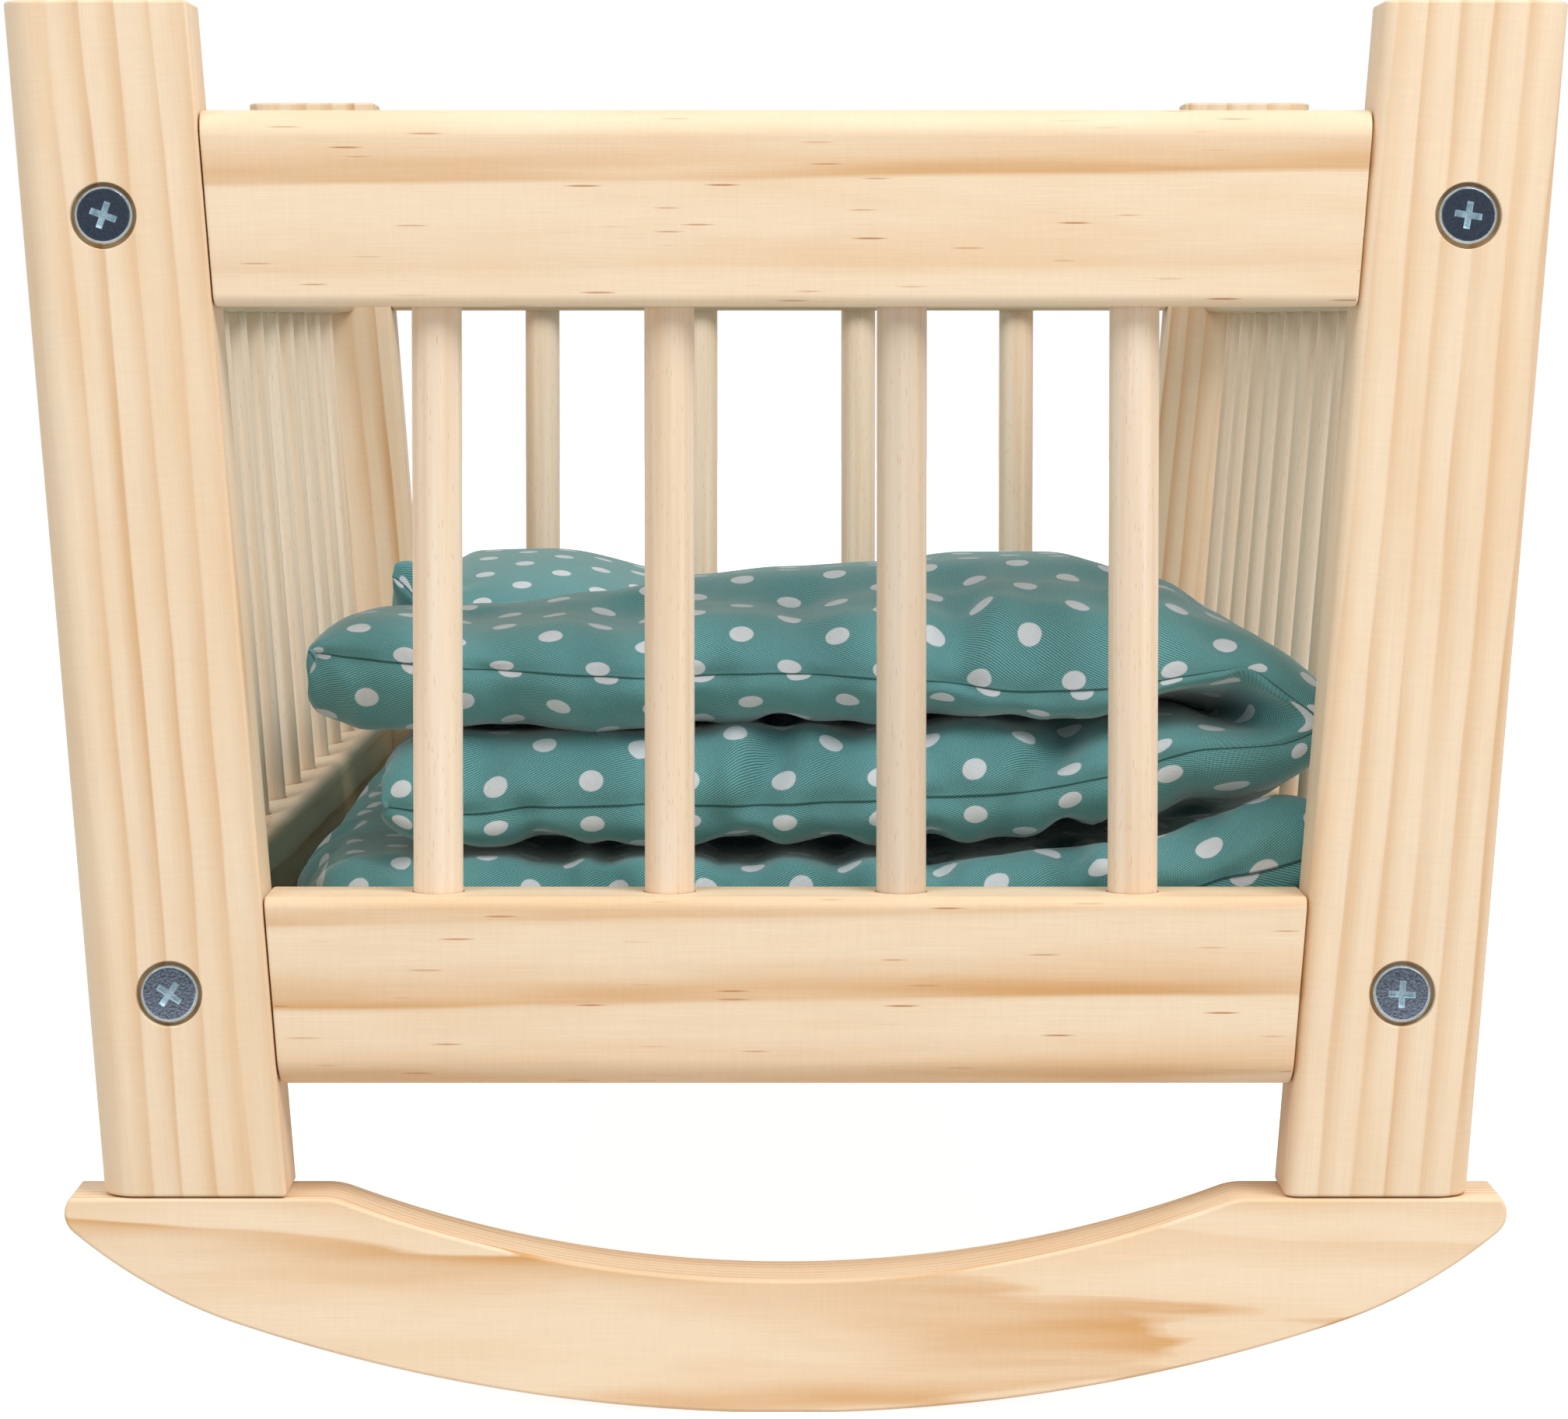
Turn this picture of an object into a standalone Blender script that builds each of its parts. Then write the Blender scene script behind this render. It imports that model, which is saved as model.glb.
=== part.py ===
"""Doll cradle: a pine rocking cradle with slatted sides, and its mattress, duvet and pillow.

Metres, +Z up. X runs across the cradle, Y along it, and the rockers stand on Z = 0.
The pieces of one corner are modelled at the right front (+X, -Y) and mirrored to the others.
"""
import math

import bmesh
import bpy
from mathutils import Matrix, Vector
from mathutils.geometry import interpolate_bezier

# The frame as a whole
CRADLE_LENGTH = 0.460
TOP_SPREAD = 0.311
POST_TOP_Z = 0.2814
LEAN = math.radians(4.5)
BOARD = 0.020
GAP = 0.0003
OVERRUN = 0.004

# Posts
POST_WIDTH = 0.037
POST_OUTER_ROUND = 0.0070
POST_INNER_ROUND = 0.0015
END_EASE = 0.0007

# Rails: the drop and the rise run to the middles of the end rails, the steps on to the side rails
UPPER_RAIL_DROP = 0.0410
LOWER_RAIL_RISE = 0.0414
SIDE_UPPER_STEP = 0.0014
SIDE_LOWER_STEP = 0.0005
END_UPPER_HEIGHT = 0.0390
END_LOWER_HEIGHT = 0.0380
SIDE_RAIL_HEIGHT = 0.0380
SIDE_RAIL_THICKNESS = 0.0200
SIDE_OFFSET = 0.0015
RAIL_OUTER_ROUND = 0.0056
RAIL_INNER_ROUND = 0.0025
TENON_THICKNESS = 0.008
TENON_HEIGHT = 0.024
TENON_LENGTH = 0.012
MORTISE_SPARE = 0.0005

# Spindles: the margins run from the posts to the middle of the first spindle
SPINDLE_DIAMETER = 0.010
SPINDLE_SEAT = 0.012
END_SPINDLE_MARGIN = 0.0346
SIDE_SPINDLE_MARGIN = 0.0270
END_SPINDLES = 4
SIDE_SPINDLES = 11

# Rockers: overhang and seat margin run out and in from the feet of the posts
ROCKER_TOP_Z = 0.0431
ROCKER_OVERHANG = 0.0074
ROCKER_SEAT_MARGIN = 0.0093
ROCKER_HOLLOW_DEPTH = 0.0165
ROCKER_RADIUS = 0.345
ROCKER_SHOULDER_ROUND = 0.014
ROCKER_TIP_RADIUS = 0.005
ROCKER_TIP_DROP = 0.0031
ROCKER_TIP_START = math.radians(40)
ROCKER_ARC_SHARE = 0.763
ROCKER_FLAT = 0.020
ROCKER_EDGE_ROUND = 0.0008

# Base panel
PANEL_THICKNESS = 0.004
PANEL_DROP = 0.0075
GROOVE_DEPTH = 0.006
PANEL_CLEARANCE = 0.0005

# Screws that hold the side rails to the posts
SCREW_DIAMETER = 0.005
SCREW_LENGTH = 0.060
SCREW_TIP = 0.007
SCREW_TIP_DIAMETER = 0.001
HEAD_DIAMETER = 0.0114
HEAD_HEIGHT = 0.0030
HEAD_FLAT_DIAMETER = 0.0100
HEAD_RIM_HEIGHT = 0.0023
COUNTERBORE_DIAMETER = 0.0132
COUNTERBORE_DEPTH = 0.0036
RECESS_SPAN = 0.0068
RECESS_WIDTH = 0.0016
RECESS_DEPTH = 0.0018

# Screws that hold the rockers to the feet of the posts
FOOT_SCREW_DIAMETER = 0.0042
FOOT_SCREW_LENGTH = 0.042
FOOT_SCREW_TIP = 0.006
FOOT_HEAD_DIAMETER = 0.0082
FOOT_HEAD_HEIGHT = 0.0028
FOOT_CLAMP = 0.0151

# Mattress
MATTRESS_SIDE_CLEARANCE = 0.0054
MATTRESS_END_CLEARANCE = 0.0015
MATTRESS_THICKNESS = 0.0291
MATTRESS_DRAW_IN = 0.003
MATTRESS_CURL = 0.0168
MATTRESS_CURL_WIDTH = 0.077
MATTRESS_CURL_LENGTH = 0.075

# Duvet, folded once over a crease along Y on the right; its margins run in from the spindles
DUVET_WIDTH = 0.238
DUVET_FOLD_GAP = 0.0006
DUVET_FRONT_MARGIN = 0.0065
DUVET_FOLD_MARGIN = 0.0308
DUVET_LEFT_MARGIN = 0.0238
DUVET_END_STEP = 0.0125
DUVET_DRAW_IN = 0.004
DUVET_CURL_CLEARANCE = 0.0008
DUVET_CURL_MARGIN = 0.020
# Its top above the mattress, from its left end to the fold, in rows from the front to the rear
DUVET_ACROSS_SHARES = (0.0, 0.20, 0.41, 0.62, 0.83, 1.0)
DUVET_ALONG_SHARES = (0.0, 0.20, 0.50, 0.73, 1.0)
DUVET_HEIGHTS = (
    (0.0483, 0.0470, 0.0495, 0.0500, 0.0520, 0.0480),
    (0.0483, 0.0495, 0.0550, 0.0575, 0.0595, 0.0490),
    (0.0440, 0.0430, 0.0505, 0.0540, 0.0570, 0.0485),
    (0.0400, 0.0395, 0.0450, 0.0500, 0.0538, 0.0480),
    (0.0360, 0.0380, 0.0415, 0.0455, 0.0495, 0.0460),
)

# Pillow
PILLOW_SIDE_MARGIN = 0.0200
PILLOW_FRONT_GAP = 0.008
PILLOW_REAR_MARGIN = 0.006
PILLOW_BELOW_SEAM = 0.018
PILLOW_ABOVE_SEAM = 0.0300
PILLOW_RIGHT_SINK = 0.0090
PILLOW_FULL_SHARE = 0.22
PILLOW_SUNK_SHARE = 0.45
PILLOW_CORNER_LIFT = 0.022
PILLOW_CORNER_WIDTH = 0.060
PILLOW_DRAW_IN = 0.004

# Counts of facets, how far a round may eat into its board, and how square a cushion is
WIDE_ROUND_STEPS = 4
NARROW_ROUND_STEPS = 2
TURNED_SIDES = 16
SCREW_SIDES = 12
ARC_STEPS = 7
BLEND_STEPS = 5
TIP_STEPS = 4
HOLLOW_STEPS = 7
SHOULDER_STEPS = 3
EDGE_ROUND_STEPS = 2
MATTRESS_CELLS = (22, 24)
DUVET_CELLS = (34, 16)
PILLOW_CELLS = (22, 18)
SHARP_ANGLE = math.radians(32)
ROUND_LIMIT_SHARE = 0.48
MATTRESS_POWER = 10
DUVET_POWER = 12
PILLOW_TOP_POWER = 4
PILLOW_BASE_POWER = 6

# Heights and places that follow from the sizes above
END_Y = CRADLE_LENGTH / 2 - BOARD / 2
INNER_Y = CRADLE_LENGTH / 2 - BOARD
END_UPPER_Z = POST_TOP_Z - UPPER_RAIL_DROP
END_LOWER_Z = ROCKER_TOP_Z + LOWER_RAIL_RISE
SIDE_UPPER_Z = END_UPPER_Z - SIDE_UPPER_STEP
SIDE_LOWER_Z = END_LOWER_Z - SIDE_LOWER_STEP
PANEL_Z = SIDE_LOWER_Z - PANEL_DROP
FOOT_HEAD_Z = ROCKER_TOP_Z - FOOT_CLAMP
MATTRESS_BASE_Z = PANEL_Z + PANEL_THICKNESS / 2 + GAP
MATTRESS_TOP_Z = MATTRESS_BASE_Z + MATTRESS_THICKNESS
DUVET_FRONT_Y = DUVET_FRONT_MARGIN - INNER_Y
SPINDLE_HOLE_DIAMETER = SPINDLE_DIAMETER + 2 * GAP
SCREW_HOLE_DIAMETER = SCREW_DIAMETER + 2 * GAP


# Where the leaning posts and sides stand

def post_outer_x(z):
    """Outer edge of the right posts at height z."""
    return TOP_SPREAD / 2 - (POST_TOP_Z - z) * math.tan(LEAN)


def post_inner_x(z):
    """Inner edge of the right posts at height z."""
    return post_outer_x(z) - POST_WIDTH / math.cos(LEAN)


def post_centre_x(z):
    """Centre line of the right posts at height z."""
    return (post_outer_x(z) + post_inner_x(z)) / 2


def side_plane_x(z):
    """Centre plane of the right side, which its rails, spindles and screws share."""
    return post_centre_x(z) + SIDE_OFFSET


def side_inner_x(z):
    """Inner face of the right side rails at height z."""
    return side_plane_x(z) - SIDE_RAIL_THICKNESS / 2 / math.cos(LEAN)


def side_spindle_inner_x(z):
    """Inner side of the right side spindles at height z."""
    return side_plane_x(z) - SPINDLE_DIAMETER / 2 / math.cos(LEAN)


def spread(count, reach):
    """Evenly spaced places from -reach to reach."""
    return [reach * (2 * index / (count - 1) - 1) for index in range(count)]


def end_spindle_places():
    """X of the upright spindles in an end."""
    reach = post_inner_x(END_LOWER_Z + END_LOWER_HEIGHT / 2) - END_SPINDLE_MARGIN
    return spread(END_SPINDLES, reach)


def side_spindle_places():
    """Y of the leaning spindles in a side."""
    return spread(SIDE_SPINDLES, INNER_Y - SIDE_SPINDLE_MARGIN)


def rail_rounds(upper):
    """Radii and steps of a rail's four long edges: wide on the outer edges of the cradle."""
    outer = ((RAIL_OUTER_ROUND, WIDE_ROUND_STEPS),) * 2
    inner = ((RAIL_INNER_ROUND, NARROW_ROUND_STEPS),) * 2
    return tuple(zip(*(outer + inner if upper else inner + outer)))


# Materials

def make_material(name, colour, roughness, metallic=0.0):
    """A Principled BSDF material of one linear RGB colour."""
    material = bpy.data.materials.new(name)
    material.use_nodes = True
    shader = material.node_tree.nodes["Principled BSDF"]
    shader.inputs["Base Color"].default_value = (*colour, 1.0)
    shader.inputs["Roughness"].default_value = roughness
    shader.inputs["Metallic"].default_value = metallic
    material.diffuse_color = (*colour, 1.0)
    return material


# Mesh helpers

def make_object(name, bm, material=None):
    """Turn a bmesh into a smooth shaded object with sharp corners kept."""
    bmesh.ops.recalc_face_normals(bm, faces=bm.faces)
    if bm.calc_volume(signed=True) < 0:
        bmesh.ops.reverse_faces(bm, faces=bm.faces)
    mesh = bpy.data.meshes.new(name)
    bm.to_mesh(mesh)
    bm.free()
    piece = bpy.data.objects.new(name, mesh)
    bpy.context.scene.collection.objects.link(piece)
    if material:
        mesh.materials.append(material)
    shade(mesh)
    return piece


def shade(mesh):
    """Smooth shading that breaks at corners."""
    mesh.shade_smooth()
    mesh.set_sharp_from_angle(angle=SHARP_ANGLE)


def add_loft(bm, rings):
    """Skin a closed solid through rings that have the same number of points."""
    loops = [[bm.verts.new(point) for point in ring] for ring in rings]
    for low, high in zip(loops, loops[1:]):
        for index, start in enumerate(low):
            following = (index + 1) % len(low)
            bm.faces.new((start, low[following], high[following], high[index]))
    bm.faces.new(loops[0][::-1])
    bm.faces.new(loops[-1])


def add_turned(bm, profile, sides, matrix):
    """Add a solid turned about local Z from (radius, height) pairs, bottom first."""
    rings = []
    for radius, height in profile:
        ring = []
        for step in range(sides):
            angle = 2 * math.pi * step / sides
            ring.append(matrix @ Vector((radius * math.cos(angle), radius * math.sin(angle), height)))
        rings.append(ring)
    add_loft(bm, rings)


def add_box(bm, low, high):
    """Add a box between two corners."""
    corners = ((low[0], low[1]), (high[0], low[1]), (high[0], high[1]), (low[0], high[1]))
    add_loft(bm, [[Vector((x, y, z)) for x, y in corners] for z in (low[2], high[2])])


def rounded_section(width, height, radii, steps, inset=0.0):
    """Rounded rectangle about the origin as (across, up) pairs, anticlockwise.

    radii and steps go to the corners at the right top, left top, left bottom and right bottom.
    """
    corners = ((1, 1), (-1, 1), (-1, -1), (1, -1))
    widest = ROUND_LIMIT_SHARE * min(width, height)
    points = []
    for quarter, (across, up) in enumerate(corners):
        radius = max(min(radii[quarter], widest) - inset, 0.0)
        centre_across = across * (width / 2 - inset - radius)
        centre_up = up * (height / 2 - inset - radius)
        for step in range(steps[quarter] + 1):
            angle = math.pi / 2 * (quarter + step / steps[quarter])
            points.append((centre_across + radius * math.cos(angle),
                           centre_up + radius * math.sin(angle)))
    return points


def combine(piece, tool, operation):
    """Apply a Boolean of a tool to a piece, then drop the tool."""
    modifier = piece.modifiers.new(operation.title(), "BOOLEAN")
    modifier.operation = operation
    modifier.solver = "EXACT"
    modifier.object = tool
    bpy.context.view_layer.update()
    depsgraph = bpy.context.evaluated_depsgraph_get()
    mesh = bpy.data.meshes.new_from_object(piece.evaluated_get(depsgraph))
    piece.modifiers.clear()
    piece.data = mesh
    shade(mesh)
    bpy.data.objects.remove(tool)


def set_origin(piece, origin):
    """Move a piece's origin to a world point, its shape staying where it is."""
    origin = Vector(origin)
    piece.data.transform(Matrix.Translation(piece.location - origin))
    piece.location = origin


def mirrored(source, name, across, along):
    """Copy a piece to another corner; across and along are 1 or -1."""
    mesh = source.data.copy()
    mesh.transform(Matrix.Diagonal((across, along, 1, 1)))
    if across * along < 0:
        mesh.flip_normals()
    copy = bpy.data.objects.new(name, mesh)
    copy.location = source.location * Vector((across, along, 1))
    bpy.context.scene.collection.objects.link(copy)
    return copy


def along_y(x, y, z):
    """Frame whose local Z points along world +Y, for holes and screws in the posts."""
    return Matrix.Translation((x, y, z)) @ Matrix.Rotation(-math.pi / 2, 4, "X")


def spindle_hole(bm, matrix):
    """Blind spindle seat whose mouth is at the matrix's origin and which runs down local Z."""
    radius = SPINDLE_HOLE_DIAMETER / 2
    add_turned(bm, ((radius, -SPINDLE_SEAT), (radius, OVERRUN)), TURNED_SIDES, matrix)


# Posts

def make_post(material):
    """Right front post with its screw holes, mortises and the hole in its foot."""
    radii = (POST_OUTER_ROUND, POST_INNER_ROUND, POST_INNER_ROUND, POST_OUTER_ROUND)
    steps = (WIDE_ROUND_STEPS, NARROW_ROUND_STEPS, NARROW_ROUND_STEPS, WIDE_ROUND_STEPS)
    width = POST_WIDTH / math.cos(LEAN)
    foot_z = ROCKER_TOP_Z + GAP
    levels = ((foot_z, END_EASE), (foot_z + END_EASE, 0.0), (POST_TOP_Z - END_EASE, 0.0),
              (POST_TOP_Z, END_EASE))
    rings = []
    for z, inset in levels:
        section = rounded_section(width, BOARD, radii, steps, inset)
        rings.append([Vector((post_centre_x(z) + x, y - END_Y, z)) for x, y in section])
    bm = bmesh.new()
    add_loft(bm, rings)
    post = make_object("post_front_right", bm, material)
    combine(post, make_post_cutter(), "DIFFERENCE")
    set_origin(post, (post_centre_x(foot_z), -END_Y, foot_z))
    return post


def make_post_cutter():
    """Everything that is drilled or chopped out of the right front post."""
    bm = bmesh.new()
    bore = COUNTERBORE_DIAMETER / 2
    hole = SCREW_HOLE_DIAMETER / 2
    profile = ((bore, -OVERRUN), (bore, COUNTERBORE_DEPTH), (hole, COUNTERBORE_DEPTH),
               (hole, BOARD + OVERRUN))
    for z in (SIDE_UPPER_Z, SIDE_LOWER_Z):
        add_turned(bm, profile, TURNED_SIDES, along_y(side_plane_x(z), -CRADLE_LENGTH / 2, z))
    half = TENON_THICKNESS / 2 + GAP
    for z in (END_UPPER_Z, END_LOWER_Z):
        inner = post_inner_x(z)
        rise = TENON_HEIGHT / 2 + GAP
        add_box(bm, (inner - OVERRUN, -END_Y - half, z - rise),
                (inner + TENON_LENGTH + MORTISE_SPARE, -END_Y + half, z + rise))
    radius = FOOT_SCREW_DIAMETER / 2 + GAP
    top = FOOT_HEAD_Z + FOOT_SCREW_LENGTH + GAP
    add_turned(bm, ((radius, ROCKER_TOP_Z - OVERRUN), (radius, top)), SCREW_SIDES,
               Matrix.Translation((post_centre_x(ROCKER_TOP_Z), -END_Y, 0)))
    return make_object("post_cutter", bm)


# Rails at the two ends

def make_end_rail(name, z, height, upper, material):
    """Front end rail: rounded bar between the leaning posts, with a tenon at each end."""
    radii, steps = rail_rounds(upper)
    rings = []
    for side, back, inset in ((-1, 0.0, END_EASE), (-1, END_EASE, 0.0),
                              (1, END_EASE, 0.0), (1, 0.0, END_EASE)):
        section = rounded_section(BOARD, height, radii, steps, inset)
        rings.append([Vector((side * (post_inner_x(z + up) - GAP - back), across - END_Y, z + up))
                      for across, up in section])
    bm = bmesh.new()
    add_loft(bm, rings)
    rail = make_object(name, bm, material)

    bm = bmesh.new()
    reach = post_inner_x(z) + TENON_LENGTH
    add_box(bm, (-reach, -END_Y - TENON_THICKNESS / 2, z - TENON_HEIGHT / 2),
            (reach, -END_Y + TENON_THICKNESS / 2, z + TENON_HEIGHT / 2))
    combine(rail, make_object("tenon", bm), "UNION")
    combine(rail, make_end_rail_cutter(z, height, upper), "DIFFERENCE")
    set_origin(rail, (0, -END_Y, z))
    return rail


def make_end_rail_cutter(z, height, upper):
    """Seats for the end spindles and, in a lower rail, the groove for the base panel."""
    bm = bmesh.new()
    face_z = z - height / 2 if upper else z + height / 2
    turn = Matrix.Rotation(math.pi, 4, "X") if upper else Matrix.Identity(4)
    for x in end_spindle_places():
        spindle_hole(bm, Matrix.Translation((x, -END_Y, face_z)) @ turn)
    if not upper:
        reach = post_inner_x(z) + OVERRUN
        half = PANEL_THICKNESS / 2 + GAP
        add_box(bm, (-reach, -INNER_Y - GROOVE_DEPTH, PANEL_Z - half),
                (reach, -INNER_Y + OVERRUN, PANEL_Z + half))
    return make_object("end_rail_cutter", bm)


# Rails along the two sides

def side_frame(z, y=0.0):
    """Frame in the right side's centre plane at height z: local Z runs up the lean."""
    return Matrix.Translation((side_plane_x(z), y, z)) @ Matrix.Rotation(LEAN, 4, "Y")


def make_side_rail(name, z, upper, material):
    """Right side rail: rounded bar between the front and rear posts, leaning with the side."""
    radii, steps = rail_rounds(upper)
    half_length = INNER_Y - GAP
    frame = side_frame(z)
    rings = []
    for y, inset in ((-half_length, END_EASE), (END_EASE - half_length, 0.0),
                     (half_length - END_EASE, 0.0), (half_length, END_EASE)):
        section = rounded_section(SIDE_RAIL_THICKNESS, SIDE_RAIL_HEIGHT, radii, steps, inset)
        rings.append([frame @ Vector((across, y, up)) for across, up in section])
    bm = bmesh.new()
    add_loft(bm, rings)
    rail = make_object(name, bm, material)
    combine(rail, make_side_rail_cutter(z, upper), "DIFFERENCE")
    set_origin(rail, (side_plane_x(z), 0, z))
    return rail


def make_side_rail_cutter(z, upper):
    """Spindle seats, the screws' pilot holes and, in a lower rail, the base panel's groove."""
    bm = bmesh.new()
    turn = Matrix.Rotation(math.pi, 4, "X") if upper else Matrix.Identity(4)
    lift = -SIDE_RAIL_HEIGHT / 2 if upper else SIDE_RAIL_HEIGHT / 2
    for y in side_spindle_places():
        spindle_hole(bm, side_frame(z, y) @ Matrix.Translation((0, 0, lift)) @ turn)
    radius = SCREW_HOLE_DIAMETER / 2
    deep = COUNTERBORE_DEPTH + SCREW_LENGTH + GAP
    for end in (-1, 1):
        start = end * (INNER_Y + OVERRUN)
        stop = end * (CRADLE_LENGTH / 2 - deep)
        low, high = sorted((start, stop))
        add_turned(bm, ((radius, low), (radius, high)), TURNED_SIDES,
                   along_y(side_plane_x(z), 0, z))
    if not upper:
        half = PANEL_THICKNESS / 2 + GAP
        inner = side_inner_x(PANEL_Z)
        add_box(bm, (inner - OVERRUN, -INNER_Y - OVERRUN, PANEL_Z - half),
                (inner + GROOVE_DEPTH, INNER_Y + OVERRUN, PANEL_Z + half))
    return make_object("side_rail_cutter", bm)


# Spindles

def make_spindle_mesh(name, length, material):
    """Dowel about its own middle."""
    radius = SPINDLE_DIAMETER / 2
    bm = bmesh.new()
    add_turned(bm, ((radius, -length / 2), (radius, length / 2)), TURNED_SIDES, Matrix.Identity(4))
    spindle = make_object(name, bm, material)
    mesh = spindle.data
    bpy.data.objects.remove(spindle)
    return mesh


def place_mesh(name, mesh, matrix):
    """Link an object that shows a shared mesh at a place."""
    piece = bpy.data.objects.new(name, mesh)
    piece.matrix_world = matrix
    bpy.context.scene.collection.objects.link(piece)
    return piece


def make_end_spindles(material):
    """Upright spindles of both ends."""
    low = END_LOWER_Z + END_LOWER_HEIGHT / 2 - SPINDLE_SEAT + GAP
    high = END_UPPER_Z - END_UPPER_HEIGHT / 2 + SPINDLE_SEAT - GAP
    mesh = make_spindle_mesh("end_spindle", high - low, material)
    pieces = []
    for end, y in (("front", -END_Y), ("rear", END_Y)):
        for number, x in enumerate(end_spindle_places(), start=1):
            place = Matrix.Translation((x, y, (low + high) / 2))
            pieces.append(place_mesh(f"end_spindle_{end}_{number}", mesh, place))
    return pieces


def make_side_spindles(material):
    """Leaning spindles of both sides."""
    between_rails = (SIDE_UPPER_Z - SIDE_LOWER_Z) / math.cos(LEAN) - SIDE_RAIL_HEIGHT
    length = between_rails + 2 * (SPINDLE_SEAT - GAP)
    mesh = make_spindle_mesh("side_spindle", length, material)
    middle_z = (SIDE_UPPER_Z + SIDE_LOWER_Z) / 2
    pieces = []
    for side, sign in (("right", 1), ("left", -1)):
        lean = Matrix.Rotation(sign * LEAN, 4, "Y")
        for number, y in enumerate(side_spindle_places(), start=1):
            place = Matrix.Translation((sign * side_plane_x(middle_z), y, middle_z)) @ lean
            pieces.append(place_mesh(f"side_spindle_{side}_{number:02d}", mesh, place))
    return pieces


# Rockers

def arc(centre, radius, start, stop, steps):
    """Points (x, z) on an arc; angles start at the bottom and turn towards +X."""
    points = []
    for step in range(steps + 1):
        angle = start + (stop - start) * step / steps
        points.append(centre + radius * Vector((math.sin(angle), -math.cos(angle))))
    return points


def rocker_lower_edge():
    """Right half of the running edge: flat foot, long arc, blend and round tip."""
    half_length = post_outer_x(ROCKER_TOP_Z) + ROCKER_OVERHANG
    foot_angle = math.asin(ROCKER_FLAT / 2 / ROCKER_RADIUS)
    arc_end = math.asin(ROCKER_ARC_SHARE * half_length / ROCKER_RADIUS)
    centre = Vector((0, ROCKER_RADIUS * math.cos(foot_angle)))
    points = arc(centre, ROCKER_RADIUS, foot_angle, arc_end, ARC_STEPS)
    tip = Vector((half_length - ROCKER_TIP_RADIUS, ROCKER_TOP_Z - ROCKER_TIP_DROP))
    tip_end = math.acos(-min(ROCKER_TIP_DROP / ROCKER_TIP_RADIUS, 1.0))
    round_tip = arc(tip, ROCKER_TIP_RADIUS, ROCKER_TIP_START, tip_end, TIP_STEPS)
    handle = (round_tip[0] - points[-1]).length / 3
    leave = Vector((math.cos(arc_end), math.sin(arc_end))) * handle
    arrive = Vector((math.cos(ROCKER_TIP_START), math.sin(ROCKER_TIP_START))) * handle
    knots = (points[-1], points[-1] + leave, round_tip[0] - arrive, round_tip[0])
    blend = interpolate_bezier(*[point.to_3d() for point in knots], BLEND_STEPS + 1)
    return points + [point.to_2d() for point in blend[1:-1]] + round_tip


def rocker_upper_edge():
    """Right half of the top, from the tip inwards: flat seat, rounded shoulder, hollow."""
    half_width = post_inner_x(ROCKER_TOP_Z) - ROCKER_SEAT_MARGIN
    radius = (half_width ** 2 + ROCKER_HOLLOW_DEPTH ** 2) / (2 * ROCKER_HOLLOW_DEPTH)
    centre = Vector((0, ROCKER_TOP_Z - ROCKER_HOLLOW_DEPTH + radius))
    shoulder_z = ROCKER_TOP_Z - ROCKER_SHOULDER_ROUND
    reach = radius + ROCKER_SHOULDER_ROUND
    shoulder = Vector((math.sqrt(reach ** 2 - (centre.y - shoulder_z) ** 2), shoulder_z))
    hollow_angle = math.asin(shoulder.x / reach)
    rounded = arc(shoulder, ROCKER_SHOULDER_ROUND, math.pi, math.pi + hollow_angle, SHOULDER_STEPS)
    hollow = arc(centre, radius, hollow_angle, 0.0, HOLLOW_STEPS)
    return rounded + hollow[1:]


def make_rocker(material):
    """Front rocker, sawn from a board and eased along both faces."""
    right = rocker_lower_edge() + rocker_upper_edge()
    left = [Vector((-point.x, point.y)) for point in right[-2::-1]]
    bm = bmesh.new()
    verts = [bm.verts.new((point.x, -END_Y - BOARD / 2, point.y)) for point in right + left]
    face = bm.faces.new(verts)
    swept = bmesh.ops.extrude_face_region(bm, geom=[face], use_keep_orig=True)
    moved = [item for item in swept["geom"] if isinstance(item, bmesh.types.BMVert)]
    bmesh.ops.translate(bm, verts=moved, vec=(0, BOARD, 0))
    rims = [edge for edge in bm.edges if abs(edge.verts[0].co.y - edge.verts[1].co.y) < GAP]
    bmesh.ops.bevel(bm, geom=rims, offset=ROCKER_EDGE_ROUND, segments=EDGE_ROUND_STEPS,
                    profile=0.5, affect="EDGES")
    rocker = make_object("rocker_front", bm, material)

    bm = bmesh.new()
    shaft = FOOT_SCREW_DIAMETER / 2 + GAP
    head = FOOT_HEAD_DIAMETER / 2 + GAP
    profile = ((head, -OVERRUN), (head, FOOT_HEAD_Z),
               (shaft, FOOT_HEAD_Z + FOOT_HEAD_HEIGHT), (shaft, ROCKER_TOP_Z + OVERRUN))
    for sign in (-1, 1):
        place = Matrix.Translation((sign * post_centre_x(ROCKER_TOP_Z), -END_Y, 0))
        add_turned(bm, profile, SCREW_SIDES, place)
    combine(rocker, make_object("rocker_cutter", bm), "DIFFERENCE")
    set_origin(rocker, (0, -END_Y, ROCKER_TOP_Z))
    return rocker


# Base panel

def make_base_panel(material):
    """Plywood floor in the grooves of the four lower rails, notched round the posts."""
    side_x = side_inner_x(PANEL_Z) + GROOVE_DEPTH - PANEL_CLEARANCE
    notch_x = post_inner_x(PANEL_Z) - PANEL_CLEARANCE
    notch_y = INNER_Y - PANEL_CLEARANCE
    end_y = INNER_Y + GROOVE_DEPTH - PANEL_CLEARANCE
    quarter = ((side_x, notch_y), (notch_x, notch_y), (notch_x, end_y))
    outline = list(quarter)
    outline += [(-x, y) for x, y in reversed(quarter)]
    outline += [(-x, -y) for x, y in quarter]
    outline += [(x, -y) for x, y in reversed(quarter)]
    bm = bmesh.new()
    half = PANEL_THICKNESS / 2
    add_loft(bm, [[Vector((x, y, z)) for x, y in outline] for z in (PANEL_Z - half, PANEL_Z + half)])
    panel = make_object("base_panel", bm, material)
    set_origin(panel, (0, 0, PANEL_Z))
    return panel


# Screws

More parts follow.
